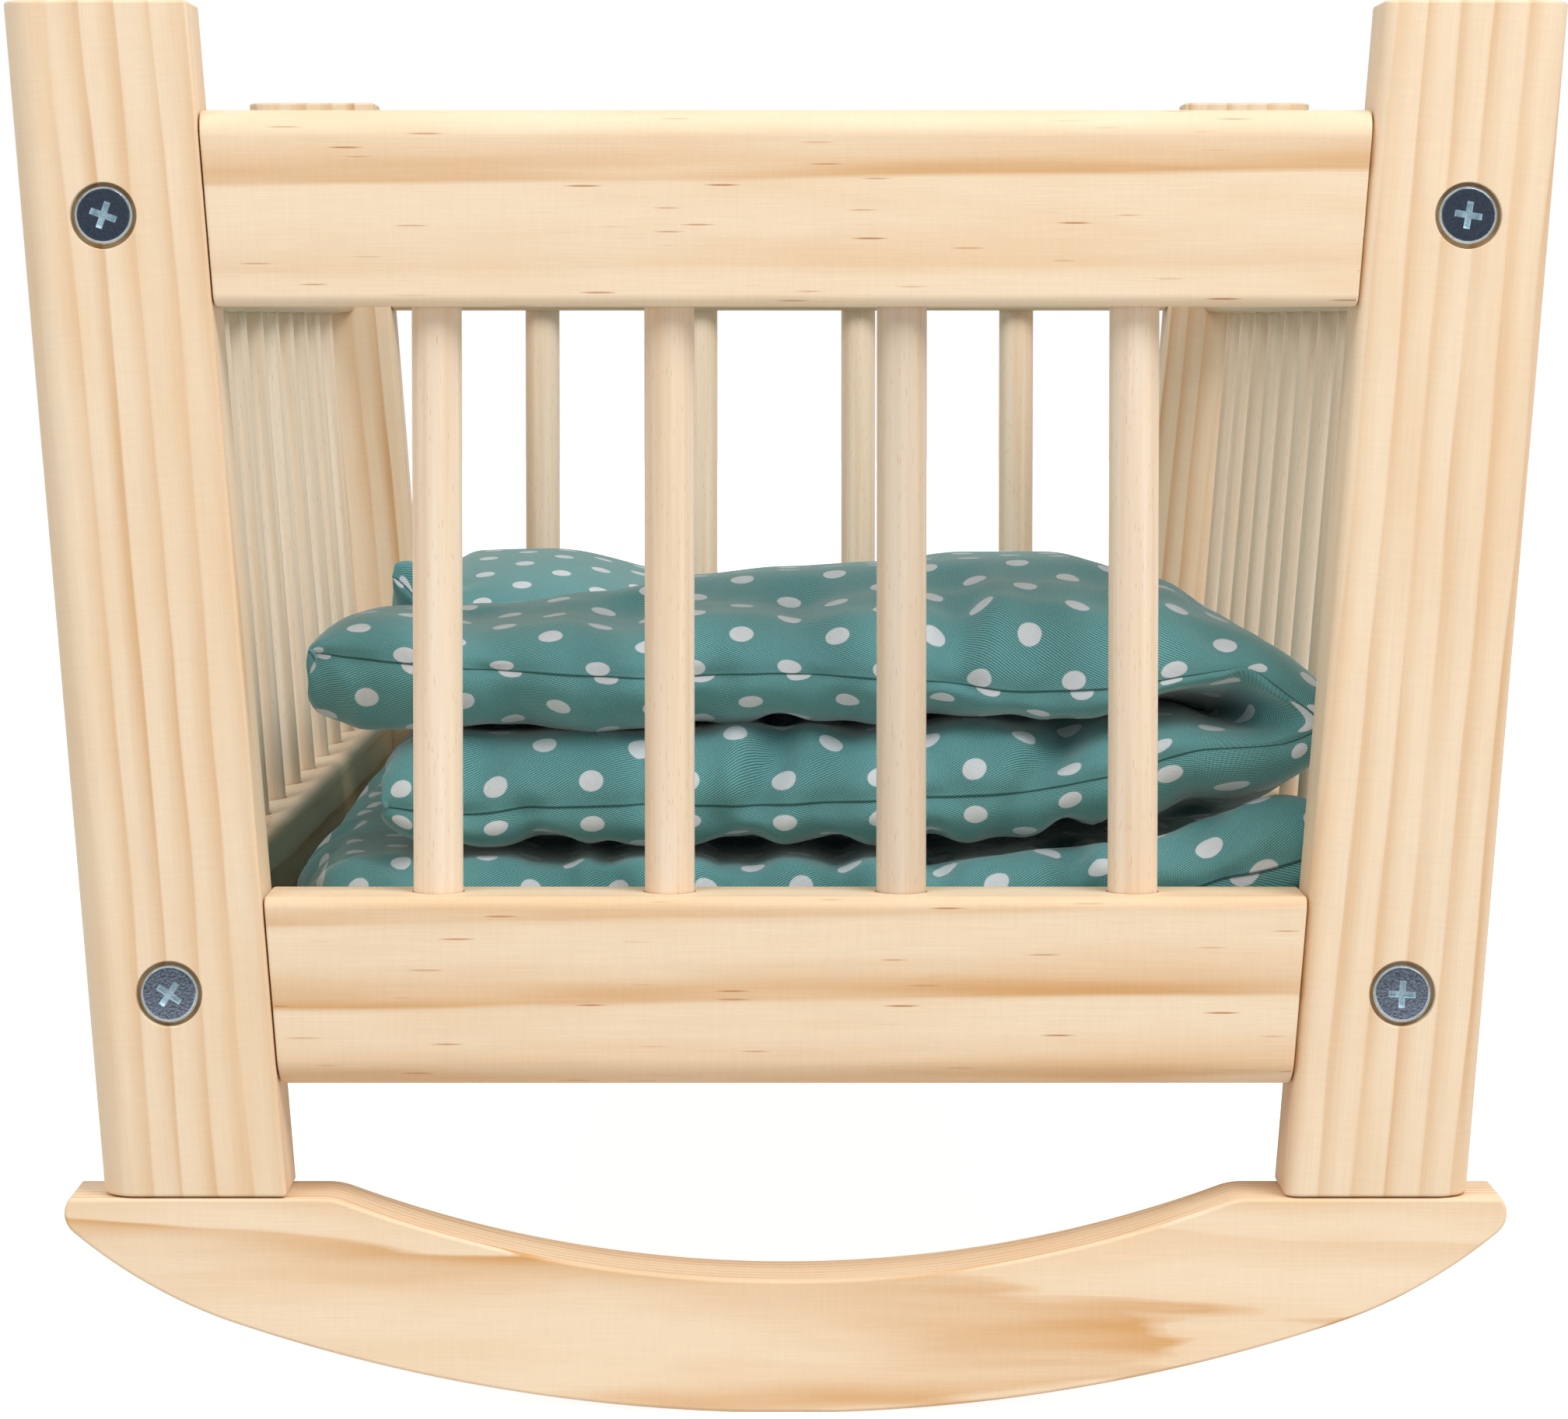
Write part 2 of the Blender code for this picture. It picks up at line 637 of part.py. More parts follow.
def make_frame_screws(material):
    """Pan head screws through the posts into the side rails, two to a post."""
    profile = ((SCREW_TIP_DIAMETER / 2, -SCREW_LENGTH), (SCREW_DIAMETER / 2, SCREW_TIP - SCREW_LENGTH),
               (SCREW_DIAMETER / 2, 0.0), (HEAD_DIAMETER / 2, 0.0),
               (HEAD_DIAMETER / 2, HEAD_RIM_HEIGHT), (HEAD_FLAT_DIAMETER / 2, HEAD_HEIGHT))
    bm = bmesh.new()
    add_turned(bm, profile, SCREW_SIDES, Matrix.Identity(4))
    screw = make_object("frame_screw", bm, material)
    half_span = RECESS_SPAN / 2
    half_width = RECESS_WIDTH / 2
    for half_x, half_y in ((half_span, half_width), (half_width, half_span)):
        bm = bmesh.new()
        add_box(bm, (-half_x, -half_y, HEAD_HEIGHT - RECESS_DEPTH),
                (half_x, half_y, HEAD_HEIGHT + OVERRUN))
        combine(screw, make_object("recess", bm), "DIFFERENCE")
    mesh = screw.data
    bpy.data.objects.remove(screw)
    pieces = []
    seat_y = CRADLE_LENGTH / 2 - COUNTERBORE_DEPTH + GAP
    for level, z in (("upper", SIDE_UPPER_Z), ("lower", SIDE_LOWER_Z)):
        for end, along in (("front", -1), ("rear", 1)):
            for side, across in (("right", 1), ("left", -1)):
                turn = Matrix.Rotation(-along * math.pi / 2, 4, "X")
                place = Matrix.Translation((across * side_plane_x(z), along * seat_y, z)) @ turn
                pieces.append(place_mesh(f"frame_screw_{level}_{end}_{side}", mesh, place))
    return pieces


def make_rocker_screws(material):
    """Countersunk screws up through the rockers into the feet of the posts."""
    shaft = FOOT_SCREW_DIAMETER / 2
    head = FOOT_HEAD_DIAMETER / 2
    profile = ((head, 0.0), (head, GAP), (shaft, FOOT_HEAD_HEIGHT),
               (shaft, FOOT_SCREW_LENGTH - FOOT_SCREW_TIP), (SCREW_TIP_DIAMETER / 2, FOOT_SCREW_LENGTH))
    bm = bmesh.new()
    add_turned(bm, profile, SCREW_SIDES, Matrix.Identity(4))
    screw = make_object("rocker_screw", bm, material)
    mesh = screw.data
    bpy.data.objects.remove(screw)
    pieces = []
    x = post_centre_x(ROCKER_TOP_Z)
    for end, along in (("front", -1), ("rear", 1)):
        for side, across in (("right", 1), ("left", -1)):
            place = Matrix.Translation((across * x, along * END_Y, FOOT_HEAD_Z - GAP))
            pieces.append(place_mesh(f"rocker_screw_{end}_{side}", mesh, place))
    return pieces


# Bedding

def swell(share, power):
    """Fullness of a cushion at a share of its half width: 1 in the middle, 0 at the seam."""
    return math.sqrt(max(1 - abs(share) ** power, 0.0))


def make_cushion(name, cells, place, material):
    """Closed form of two skins that meet in a seam; place(u, v, skin) gives each point."""
    bm = bmesh.new()
    shares = [[math.sin(math.pi / 2 * (2 * index / count - 1)) for index in range(count + 1)]
              for count in cells]
    last = (cells[0] - 1, cells[1] - 1)
    sewn_corners = {(0, 0): 0, (last[0], 0): 1, last: 2, (0, last[1]): 3}
    skins = []
    for skin in (1, -1):
        grid = []
        for i, u in enumerate(shares[0]):
            row = []
            for j, v in enumerate(shares[1]):
                on_seam = i in (0, cells[0]) or j in (0, cells[1])
                if skin < 0 and on_seam:
                    row.append(skins[0][i][j])
                else:
                    row.append(bm.verts.new(place(u, v, skin)))
            grid.append(row)
        skins.append(grid)
        for i in range(cells[0]):
            for j in range(cells[1]):
                ring = (grid[i][j], grid[i + 1][j], grid[i + 1][j + 1], grid[i][j + 1])
                turn = sewn_corners.get((i, j))
                if turn is None:
                    bm.faces.new(ring)
                    continue
                ring = ring[turn:] + ring[:turn]
                bm.faces.new(ring[:3])
                bm.faces.new((ring[0], ring[2], ring[3]))
    return make_object(name, bm, material)


def smooth_share(value):
    """Share from 0 to 1 that starts and ends gently."""
    value = min(max(value, 0.0), 1.0)
    return value * value * (3 - 2 * value)


def interval_in(stops, value):
    """Number of the interval of stops that holds a value, and the share of the way through it."""
    index = 0
    while index < len(stops) - 2 and value > stops[index + 1]:
        index += 1
    return index, smooth_share((value - stops[index]) / (stops[index + 1] - stops[index]))


def duvet_height(across, along):
    """Height of the duvet's top above the mattress at shares of its length and width."""
    column, over = interval_in(DUVET_ACROSS_SHARES, across)
    row, back = interval_in(DUVET_ALONG_SHARES, along)
    near, far = DUVET_HEIGHTS[row], DUVET_HEIGHTS[row + 1]
    front = near[column] * (1 - over) + near[column + 1] * over
    rear = far[column] * (1 - over) + far[column + 1] * over
    return front * (1 - back) + rear * back


def mattress_half_width():
    """Half of the mattress's width, between the lower side rails."""
    return side_inner_x(MATTRESS_BASE_Z) - MATTRESS_SIDE_CLEARANCE


def curl_shares(x, y):
    """Way from where the mattress leaves the panel to its front right corner, in X and in Y."""
    across = (x - mattress_half_width()) / MATTRESS_CURL_WIDTH + 1
    front_y = MATTRESS_END_CLEARANCE - INNER_Y
    along = 1 - (y - front_y) / MATTRESS_CURL_LENGTH
    return across, along


def mattress_curl(x, y):
    """How far the mattress is curled up off the panel towards its front right corner."""
    across, along = curl_shares(x, y)
    return MATTRESS_CURL * smooth_share(across) * smooth_share(along)


def curl_clearance(x, y):
    """Air under the duvet: a gap, and more of it where the mattress below is curled up."""
    across, along = curl_shares(x, y)
    across = smooth_share(across * MATTRESS_CURL_WIDTH / DUVET_CURL_MARGIN + 1)
    along = smooth_share(along * MATTRESS_CURL_LENGTH / DUVET_CURL_MARGIN + 1)
    return GAP + DUVET_CURL_CLEARANCE * across * along


def make_mattress(material):
    """Flat pad on the base panel between the lower rails, one of its corners curled up."""
    half_thickness = MATTRESS_THICKNESS / 2
    half_width = mattress_half_width()
    half_length = INNER_Y - MATTRESS_END_CLEARANCE
    seam_z = MATTRESS_BASE_Z + half_thickness

    def place(u, v, skin):
        x = (half_width - MATTRESS_DRAW_IN * (1 - v * v)) * u
        y = (half_length - MATTRESS_DRAW_IN * (1 - u * u)) * v
        full = swell(u, MATTRESS_POWER) * swell(v, MATTRESS_POWER)
        return Vector((x, y, seam_z + mattress_curl(x, y) + skin * half_thickness * full))

    mattress = make_cushion("mattress", MATTRESS_CELLS, place, material)
    set_origin(mattress, (0, 0, MATTRESS_BASE_Z))
    return mattress


def make_duvet(material):
    """Duvet in two layers joined by the fold on the right, its seam along the open edges."""
    fold_height = DUVET_HEIGHTS[0][-1]
    side_x = side_spindle_inner_x(MATTRESS_TOP_Z + fold_height / 2)
    fold_x = side_x - DUVET_FOLD_MARGIN
    left_x = DUVET_LEFT_MARGIN - side_x
    upper_run = fold_x - left_x
    lower_run = upper_run - DUVET_END_STEP
    turn_run = math.pi * fold_height / 4
    centre_y = DUVET_FRONT_Y + DUVET_WIDTH / 2

    def layers_at(x, y):
        """Heights of the middles of both layers over a place, and half of a layer's thickness."""
        bottom = MATTRESS_TOP_Z + mattress_curl(x, y) + curl_clearance(x, y)
        height = duvet_height((x - left_x) / upper_run, (y - DUVET_FRONT_Y) / DUVET_WIDTH)
        top = MATTRESS_TOP_Z + height
        half = (top - bottom - DUVET_FOLD_GAP) / 4
        return bottom + half, top - half, half

    def place(u, v, skin):
        distance = (lower_run + turn_run + upper_run) * (1 + u) / 2
        turned = min(max((distance - lower_run) / turn_run, 0.0), 1.0) * math.pi
        x = fold_x
        if turned <= 0:
            x = fold_x - lower_run + distance
        elif turned >= math.pi:
            x = fold_x - (distance - lower_run - turn_run)
        y = centre_y + (DUVET_WIDTH / 2 - DUVET_DRAW_IN * (1 - u * u)) * v
        low, high, half = layers_at(x, y)
        full = swell(u, DUVET_POWER) * swell(v, DUVET_POWER)
        reach = (high - low) / 2 + skin * half * full
        return Vector((x + math.sin(turned) * reach, y, (low + high) / 2 - math.cos(turned) * reach))

    duvet = make_cushion("duvet", DUVET_CELLS, place, material)
    set_origin(duvet, (0, centre_y, MATTRESS_TOP_Z))
    return duvet


def make_pillow(material):
    """Knife edge pillow at the rear, fuller on the left, where its front corner stands up."""
    seam_z = MATTRESS_TOP_Z + GAP + PILLOW_BELOW_SEAM
    front_y = DUVET_FRONT_Y + DUVET_WIDTH + PILLOW_FRONT_GAP
    rear_y = INNER_Y - PILLOW_REAR_MARGIN
    centre_y = (front_y + rear_y) / 2
    half_length = (rear_y - front_y) / 2
    half_width = side_spindle_inner_x(seam_z) - PILLOW_SIDE_MARGIN

    def place(u, v, skin):
        x = (half_width - PILLOW_DRAW_IN * (1 - v * v)) * u
        y = centre_y + (half_length - PILLOW_DRAW_IN * (1 - u * u)) * v
        corner_x = 1 - (x + half_width) / PILLOW_CORNER_WIDTH
        corner_y = 1 - (y - front_y) / PILLOW_CORNER_WIDTH
        lift = PILLOW_CORNER_LIFT * smooth_share(corner_x) * smooth_share(corner_y)
        if skin > 0:
            power = PILLOW_TOP_POWER
            past_full = (u + 1) / 2 - PILLOW_FULL_SHARE
            sunk = PILLOW_RIGHT_SINK * smooth_share(past_full / (PILLOW_SUNK_SHARE - PILLOW_FULL_SHARE))
            rise = (PILLOW_ABOVE_SEAM - sunk) * swell(u, power) * swell(v, power)
            top_z = seam_z + PILLOW_ABOVE_SEAM
            return Vector((x, y, min(seam_z + rise + lift, top_z)))
        power = PILLOW_BASE_POWER
        drop = PILLOW_BELOW_SEAM * swell(u, power) * swell(v, power)
        return Vector((x, y, seam_z + lift - drop))

    pillow = make_cushion("pillow", PILLOW_CELLS, place, material)
    set_origin(pillow, (0, centre_y, MATTRESS_TOP_Z))
    return pillow


# Assembly

def parent_to_empty(name, pieces, location, above=None):
    """Hang pieces on an empty, which marks the body that they move with."""
    empty = bpy.data.objects.new(name, None)
    empty.location = location
    bpy.context.scene.collection.objects.link(empty)
    bpy.context.view_layer.update()
    for piece in pieces:
        piece.parent = empty
        piece.matrix_parent_inverse = empty.matrix_world.inverted()
    if above:
        empty.parent = above
        empty.matrix_parent_inverse = above.matrix_world.inverted()
    return empty


def main():
    for old in list(bpy.data.objects):
        bpy.data.objects.remove(old)

    pine = make_material("planed_pine", (0.84, 0.67, 0.46), 0.55)
    dowel_wood = make_material("turned_birch", (0.80, 0.62, 0.42), 0.50)
    plywood = make_material("plywood", (0.72, 0.55, 0.36), 0.60)
    steel = make_material("zinc_plated_steel", (0.72, 0.74, 0.76), 0.30, 1.0)
    cotton = make_material("printed_cotton", (0.085, 0.235, 0.225), 0.90)

    corners = (("front_right", 1, 1), ("front_left", -1, 1), ("rear_right", 1, -1), ("rear_left", -1, -1))
    frame = [make_post(pine)]
    frame += [mirrored(frame[0], f"post_{name}", across, along) for name, across, along in corners[1:]]

    for level, z, height, upper in (("upper", END_UPPER_Z, END_UPPER_HEIGHT, True),
                                    ("lower", END_LOWER_Z, END_LOWER_HEIGHT, False)):
        rail = make_end_rail(f"end_rail_{level}_front", z, height, upper, pine)
        frame += [rail, mirrored(rail, f"end_rail_{level}_rear", 1, -1)]
    for level, z, upper in (("upper", SIDE_UPPER_Z, True), ("lower", SIDE_LOWER_Z, False)):
        rail = make_side_rail(f"side_rail_{level}_right", z, upper, pine)
        frame += [rail, mirrored(rail, f"side_rail_{level}_left", -1, 1)]

    rocker = make_rocker(pine)
    frame += [rocker, mirrored(rocker, "rocker_rear", 1, -1)]
    frame.append(make_base_panel(plywood))
    frame += make_end_spindles(dowel_wood)
    frame += make_side_spindles(dowel_wood)
    frame += make_frame_screws(steel)
    frame += make_rocker_screws(steel)

    mattress = make_mattress(cotton)
    duvet = make_duvet(cotton)
    pillow = make_pillow(cotton)

    cradle = parent_to_empty("cradle_body", frame, (0, 0, 0))
    pad = parent_to_empty("mattress_lift", [mattress], mattress.location, cradle)
    parent_to_empty("duvet_lift", [duvet], duvet.location, pad)
    parent_to_empty("pillow_lift", [pillow], pillow.location, pad)


main()
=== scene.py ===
"""Looks of the doll cradle: finely modelled wood and screws, printed bedding, light and camera.

It is run as a script. Metres, +Z up; X runs across the cradle and Y along it.
"""

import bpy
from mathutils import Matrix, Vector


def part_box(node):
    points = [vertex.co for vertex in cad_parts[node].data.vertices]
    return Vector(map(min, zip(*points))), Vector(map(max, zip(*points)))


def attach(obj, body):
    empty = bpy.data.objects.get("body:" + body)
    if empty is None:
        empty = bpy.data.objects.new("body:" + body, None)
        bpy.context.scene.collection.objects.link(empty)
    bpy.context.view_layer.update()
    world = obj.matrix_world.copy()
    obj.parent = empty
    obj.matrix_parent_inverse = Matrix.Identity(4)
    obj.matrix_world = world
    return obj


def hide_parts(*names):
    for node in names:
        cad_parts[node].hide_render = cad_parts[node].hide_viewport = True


bl_info = {
    "name": "Doll Cradle",
    "version": (1, 0, 0),
    "blender": (4, 5, 0),
    "location": "3D View > Sidebar > Cradle",
    "description": "Models a slatted pine doll cradle and its bedding round the packed frame",
    "category": "Object",
}

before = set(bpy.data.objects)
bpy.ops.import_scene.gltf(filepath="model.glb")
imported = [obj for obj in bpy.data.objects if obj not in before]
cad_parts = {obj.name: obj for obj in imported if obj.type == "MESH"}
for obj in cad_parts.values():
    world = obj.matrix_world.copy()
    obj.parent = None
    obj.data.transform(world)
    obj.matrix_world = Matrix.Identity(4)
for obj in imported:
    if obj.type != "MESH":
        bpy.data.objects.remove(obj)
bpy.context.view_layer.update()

import math
import random
from functools import partial

import bmesh
import bpy
import numpy as np
from bpy.props import FloatProperty, FloatVectorProperty, PointerProperty
from mathutils import Vector
from mathutils.geometry import interpolate_bezier

# The photograph and the camera that fits it
IMAGE_WIDTH = 2016
SENSOR = 0.036
FOCAL_PIXELS = 5971
CAMERA_PLACE = (-0.0039, -1.1500, 0.21854)
CAMERA_TILT = math.radians(2.499)
CAMERA_SHIFT = (0.01142, -0.12)

# The two soft lamps, above on both sides of the camera; the paper's own glow, seen by camera and
# glosses alone; and the dim card that the screws mirror
LAMP_X = 0.85
LAMP_Y = -1.05
LAMP_Z = 1.5
LAMP_SIZE = 1.0
FLOOR_GLOW = 0.9
CARD_HEIGHT = 0.5
CARD_WIDTH = 1.2
CARD_Y = -0.62


def middle_of(node):
    """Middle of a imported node's box."""
    low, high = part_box(node)
    return (low + high) / 2


# The frame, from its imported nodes
POST_LOW, POST_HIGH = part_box("post_front_right")
SIDE_UPPER_Z = middle_of("side_rail_upper_right").z
SIDE_LOWER_Z = middle_of("side_rail_lower_right").z
END_SPINDLES = range(1, 5)
SIDE_SPINDLES = range(1, 12)
PANEL_LOW, PANEL_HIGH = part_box("base_panel")
LEAN = math.radians(4.5)
BOARD = POST_HIGH.y - POST_LOW.y
HALF_LENGTH = -POST_LOW.y
INNER_Y = -POST_HIGH.y
END_Y = (HALF_LENGTH + INNER_Y) / 2
TOP_Z = POST_HIGH.z
FOOT_Z = POST_LOW.z
TOP_HALF = POST_HIGH.x
GAP = 0.0003
OVERRUN = 0.004

# Boards
POST_WIDTH = 0.037
POST_OUTER_ROUND = 0.0070
POST_REAR_ROUND = 0.0015
END_EASE = 0.0007
RAIL_THICKNESS = 0.020
RAIL_OUTER_ROUND = 0.0056
RAIL_INNER_ROUND = 0.0025
SIDE_RAIL_HEIGHT = 0.038
SIDE_OFFSET = 0.0015
SPINDLE_DIAMETER = 0.010
SPINDLE_SEAT = 0.012
PANEL_GROOVE = 0.006
PANEL_THICKNESS = PANEL_HIGH.z - PANEL_LOW.z
PANEL_MIDDLE_Z = (PANEL_HIGH.z + PANEL_LOW.z) / 2

# How much darker or lighter the front dowels are than the others
DOWEL_TONES = {"end_spindle_front_1": 0.0, "end_spindle_front_2": -0.02,
               "end_spindle_front_3": -0.17, "end_spindle_front_4": -0.03}

# Rockers: the running edge's arc, blended at a share of its half length into a round tip
ROCKER_TOP_Z = FOOT_Z - GAP
ROCKER_OVERHANG = 0.0074
ROCKER_SEAT_MARGIN = 0.0093
ROCKER_HOLLOW_DEPTH = 0.0165
ROCKER_RADIUS = 0.345
ROCKER_SHOULDER_ROUND = 0.014
ROCKER_TIP_RADIUS = 0.005
ROCKER_TIP_DROP = 0.0031
ROCKER_TIP_START = math.radians(40)
ROCKER_ARC_SHARE = 0.763
ROCKER_FLAT = 0.020
ROCKER_EASE = 0.0008
FOOT_SCREW_HEAD = 0.0082
FOOT_SCREW_DEPTH = 0.0278

# Screws
HEAD_DIAMETER = 0.0114
HEAD_HEIGHT = 0.0030
HEAD_ROUND = 0.0007
HEAD_DEPTH = 0.0006
BORE_DIAMETER = 0.0132
BORE_DEPTH = 0.0036
BORE_EASE = 0.00025
RECESS_SPAN = 0.0068
RECESS_WIDTH = 0.0016
RECESS_DEPTH = 0.0020
RECESS_TAPER_SHARE = 0.62
SHANK_DIAMETER = 0.005
SHANK_LENGTH = 0.020

# Bedding
MATTRESS_LOW, MATTRESS_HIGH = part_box("mattress")
DUVET_LOW, DUVET_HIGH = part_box("duvet")
PILLOW_LOW, PILLOW_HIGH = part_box("pillow")
CLOTH_CELL = 0.0030
CLOTH_FRAMES = 20
CLOTH_PRESSURE = 3.0
CLOTH_SPARE_SHARE = 0.022
CLOTH_CAP = 0.004
CLOTH_CLEAR = 0.0004
DOT_SPACING = 0.01396
DOT_ROW = DOT_SPACING / math.sqrt(2)
DOT_RADIUS = 0.00248
DOT_BLUR = 0.00012
TWILL_PITCH = 0.00050

# Mattress: how far its right front corner is curled up, and over which lengths
MATTRESS_THICKNESS = 0.0291
MATTRESS_CURL = 0.0180
MATTRESS_CURL_WIDTH = 0.077
MATTRESS_CURL_LENGTH = 0.075
MATTRESS_CURL_POWER = 1.6
MATTRESS_ROUND = 0.0145
MATTRESS_CORNER_TUCK = 0.0085
MATTRESS_TUCK_LENGTH = 0.080
MATTRESS_CORNER_SPREAD = 0.0080

# Duvet: the round of its edges, where its two layers end and fold, how far and how straight
# the fold falls, and how near its front edge they are drawn to the seam
DUVET_ROUND = 0.0152
DUVET_FOLD_X = 0.0885
DUVET_FOLD_Y = -0.150
DUVET_FOLD_REACH = 0.0240
DUVET_FOLD_POWER = 1.3
DUVET_FOLD_SLANT = -0.055
DUVET_LOWER_END = -0.0850
DUVET_UPPER_END = -0.1008
DUVET_PULL = 0.024
DUVET_END_NOTCH = 0.0030
DUVET_NOTCH_WIDTH = 0.009
DUVET_CLEAR = 0.0008
FOLD_SLACK_SHARE = 0.75
FOLD_SLACK_WIDTH = 0.055
FOLD_SLACK_LENGTH = 0.060
CREASE_LENGTH = 0.045
CREASE_OPEN_SHARE = 0.10
CREASE_OPEN_LENGTH = 0.030

# X and height of the duvet's front seam in millimetres: along the lower layer to the fold,
# round it, and back along the upper layer
LOWER_SEAM = ((-85, 119.0), (-66, 116.4), (-54, 118.2), (-28, 119.0), (-9, 118.5), (18, 119.8),
              (48, 121.3), (67, 125.0), (78, 128.7), (85, 130.9), (100, 131.0), (107, 133.6))
FOLD_SEAM = (110.5, 135.6)
UPPER_SEAM = ((107.6, 137.7), (101, 142.6), (94.7, 147.1), (89.5, 146.3), (77.6, 144.4),
              (67, 142.6), (48, 141.8), (30, 144.1), (18, 144.8), (-1.5, 146.0), (-18, 145.3),
              (-28, 144.8), (-50, 146.1), (-66, 146.9), (-88, 149.0), (-97.3, 150.4))

# X and height in millimetres of the crease between the two layers, along their front
DUVET_CREASE = ((-95, 131.2), (-80, 132.6), (-66, 134.6), (-40, 134.6), (-28, 133.6),
                (-18, 134.6), (-5, 136.9), (6, 136.2), (16, 133.2), (22, 134.2), (30, 136.8),
                (42, 136.9), (52, 133.6), (58, 132.0), (67, 135.7), (78, 140.1), (86, 139.0))

# Height of the duvet's top in millimetres over X across and Y along the cradle
DUVET_TOP_X = (-98, -80, -60, -40, -20, 0, 20, 40, 60, 80, 92)
DUVET_TOP_Y = (-205, -190, -175, -155, -125, -85, -30, 34)
DUVET_TOP_Z = (
    (155, 156, 154, 153.5, 156.5, 156.5, 157, 158.5, 159, 158.5, 154),
    (157, 157.5, 155.5, 154.8, 158, 158, 158.5, 160, 160.5, 160, 155),
    (157, 157.5, 156, 155.8, 159, 158.6, 161, 163, 163.5, 162, 155.5),
    (156, 157, 157.5, 160, 163, 164.5, 165.5, 167, 167.5, 163, 156),
    (154.5, 155, 155.5, 158, 162, 163.8, 164.8, 167, 167, 162.5, 156),
    (152, 151.5, 151, 153.5, 158.5, 160.5, 162, 164.5, 165, 161, 155.5),
    (148, 147.5, 147.5, 149, 153, 156, 158, 161, 161.8, 159, 154.5),
    (144, 144.5, 146, 147, 149.5, 151.5, 153.5, 156.5, 157.5, 155, 151),
)

# Pillow: how it swells, sinks on the right and stands up at its left front corner
PILLOW_SEAM_Z = 0.1262
PILLOW_RISE = 0.0258
PILLOW_DROP = 0.0180
PILLOW_SINK = 0.0080
PILLOW_SINK_FROM = -0.062
PILLOW_SINK_WIDTH = 0.040
PILLOW_ROUND = 0.0095
PILLOW_CROWN_SHARE = 0.48
PILLOW_CROWN_FRONT = 0.068
PILLOW_CROWN_REAR = 0.090
PILLOW_CROWN_SIDE = 0.020
PILLOW_CORNER_LIFT = 0.026
PILLOW_CORNER_WIDTH = 0.024
PILLOW_TOP_Z = 0.1562

# One dot of the upper and of the lower layer on either cloth of the duvet, as X and distance
# from the front seam in millimetres, and how the print is fitted between them
FRONT_DOTS = {-1: ((0.9, 2.7), (0.0, 5.0)), 1: ((2.8, 0.4), (-0.3, 6.5))}
PRINT_TURN = 0.030
PRINT_COLUMNS = 20

# Folds pressed into the front of the bedding, in millimetres: X and height where each begins
# and ends, its width, and its depth, or minus its height
FRONT_FOLDS = (
    (-31, 157, -26, 147, 5.0, 0.9), (-66, 157, -60, 149, 4.5, 0.7), (-45, 156, -47, 148, 5.0, -0.6),
    (3, 157, 7, 148, 5.0, 0.8), (36, 158, 34, 147, 5.5, 1.5), (44, 159, 42, 149, 4.5, -0.9),
    (29, 156, 29, 148, 4.0, -0.7), (66, 160, 60, 148, 5.0, 0.9), (84, 158, 92, 150, 4.0, 0.9),
    (-97, 150, -88, 149, 2.5, 0.6), (-95, 146, -92, 136, 3.0, 0.9), (-86, 147, -84, 137, 3.0, 0.7),
    (-15, 144, -18, 138, 4.0, 1.0), (-60, 145, -54, 136, 4.0, 0.8), (-44, 144, -40, 136, 3.5, -0.6),
    (8, 143, 15, 137, 3.5, 0.9), (36, 142, 29, 137, 3.5, 0.9), (52, 141, 48, 136, 3.5, 0.7),
    (-1, 132, -6.5, 119, 3.4, 1.9), (-10, 131, -10, 120, 3.2, -1.1), (-30, 128, -28, 118, 3.0, 1.3),
    (58, 133, 51, 126, 3.2, 1.5), (48, 131, 45, 124, 3.2, -0.7), (28, 130, 31, 121, 3.5, 0.8),
    (-62, 130, -66, 118, 4.0, 0.8), (82, 131, 88, 126, 3.5, -0.6), (12, 131, 10, 122, 3.5, 0.6),
    (-53, 117, -51, 110, 3.4, 1.3), (-15, 115, -7, 111, 3.5, 0.9), (-66, 116, -70, 110, 3.0, 0.9),
    (8, 118, 5, 111, 3.0, 0.8), (26, 119, 30, 111, 3.5, 0.9), (48, 120, 44, 112, 3.5, 0.7),
    (-45, 108, -44, 96, 3.2, 1.2), (-37, 107, -34, 96, 3.2, 1.2), (-41, 107, -40, 97, 2.8, -0.7),
    (-13, 107, -15, 96, 3.2, 1.3), (-6, 107, -5, 96, 3.0, 1.0), (11, 108, 13, 96, 3.4, 1.5),
    (31, 108, 30, 97, 3.5, 0.9), (59, 111, 61, 98, 3.8, 1.7), (68, 112, 67, 99, 3.2, 1.0),
    (64, 111, 64, 99, 2.8, -0.8), (84, 118, 90, 104, 4.5, 0.9),
)
FOLD_FRONT_Y = -0.165
FOLD_DEPTH_SCALE = 0.0028

# Gathers along the mattress's left side
GATHER_PITCH = 0.019
GATHER_SLANT = 0.9
GATHER_DEPTH = 0.0011
GATHER_BAND = 0.022

# Stitching: the valley that it draws and its puckers, close to every seam
SEAM_VALLEY = 0.0015
SEAM_VALLEY_WIDTH = 0.0030
PUCKER_PITCH = 0.0083
PUCKER_DEPTH = 0.00075
PUCKER_WIDTH = 0.0055

SHADE_ANGLE = math.radians(35)


# Where the leaning posts and sides stand

def up_the_lean(lean):
    """Direction up a leaning board."""
    return Vector((math.sin(lean), 0, math.cos(lean)))


def post_outer_x(z):
    """Outer edge of the right posts at height z."""
    return TOP_HALF - (TOP_Z - z) * math.tan(LEAN)


def post_inner_x(z):
    """Inner edge of the right posts at height z."""
    return post_outer_x(z) - POST_WIDTH / math.cos(LEAN)


def post_centre_x(z):
    """Centre line of the right posts at height z."""
    return (post_outer_x(z) + post_inner_x(z)) / 2


def side_plane_x(z):
    """Centre plane of the right side at height z."""
    return post_centre_x(z) + SIDE_OFFSET


def side_spindle_inner_x(z):
    """Inner side of the right side spindles at height z."""
    return side_plane_x(z) - SPINDLE_DIAMETER / 2 / math.cos(LEAN)


# Modelling helpers

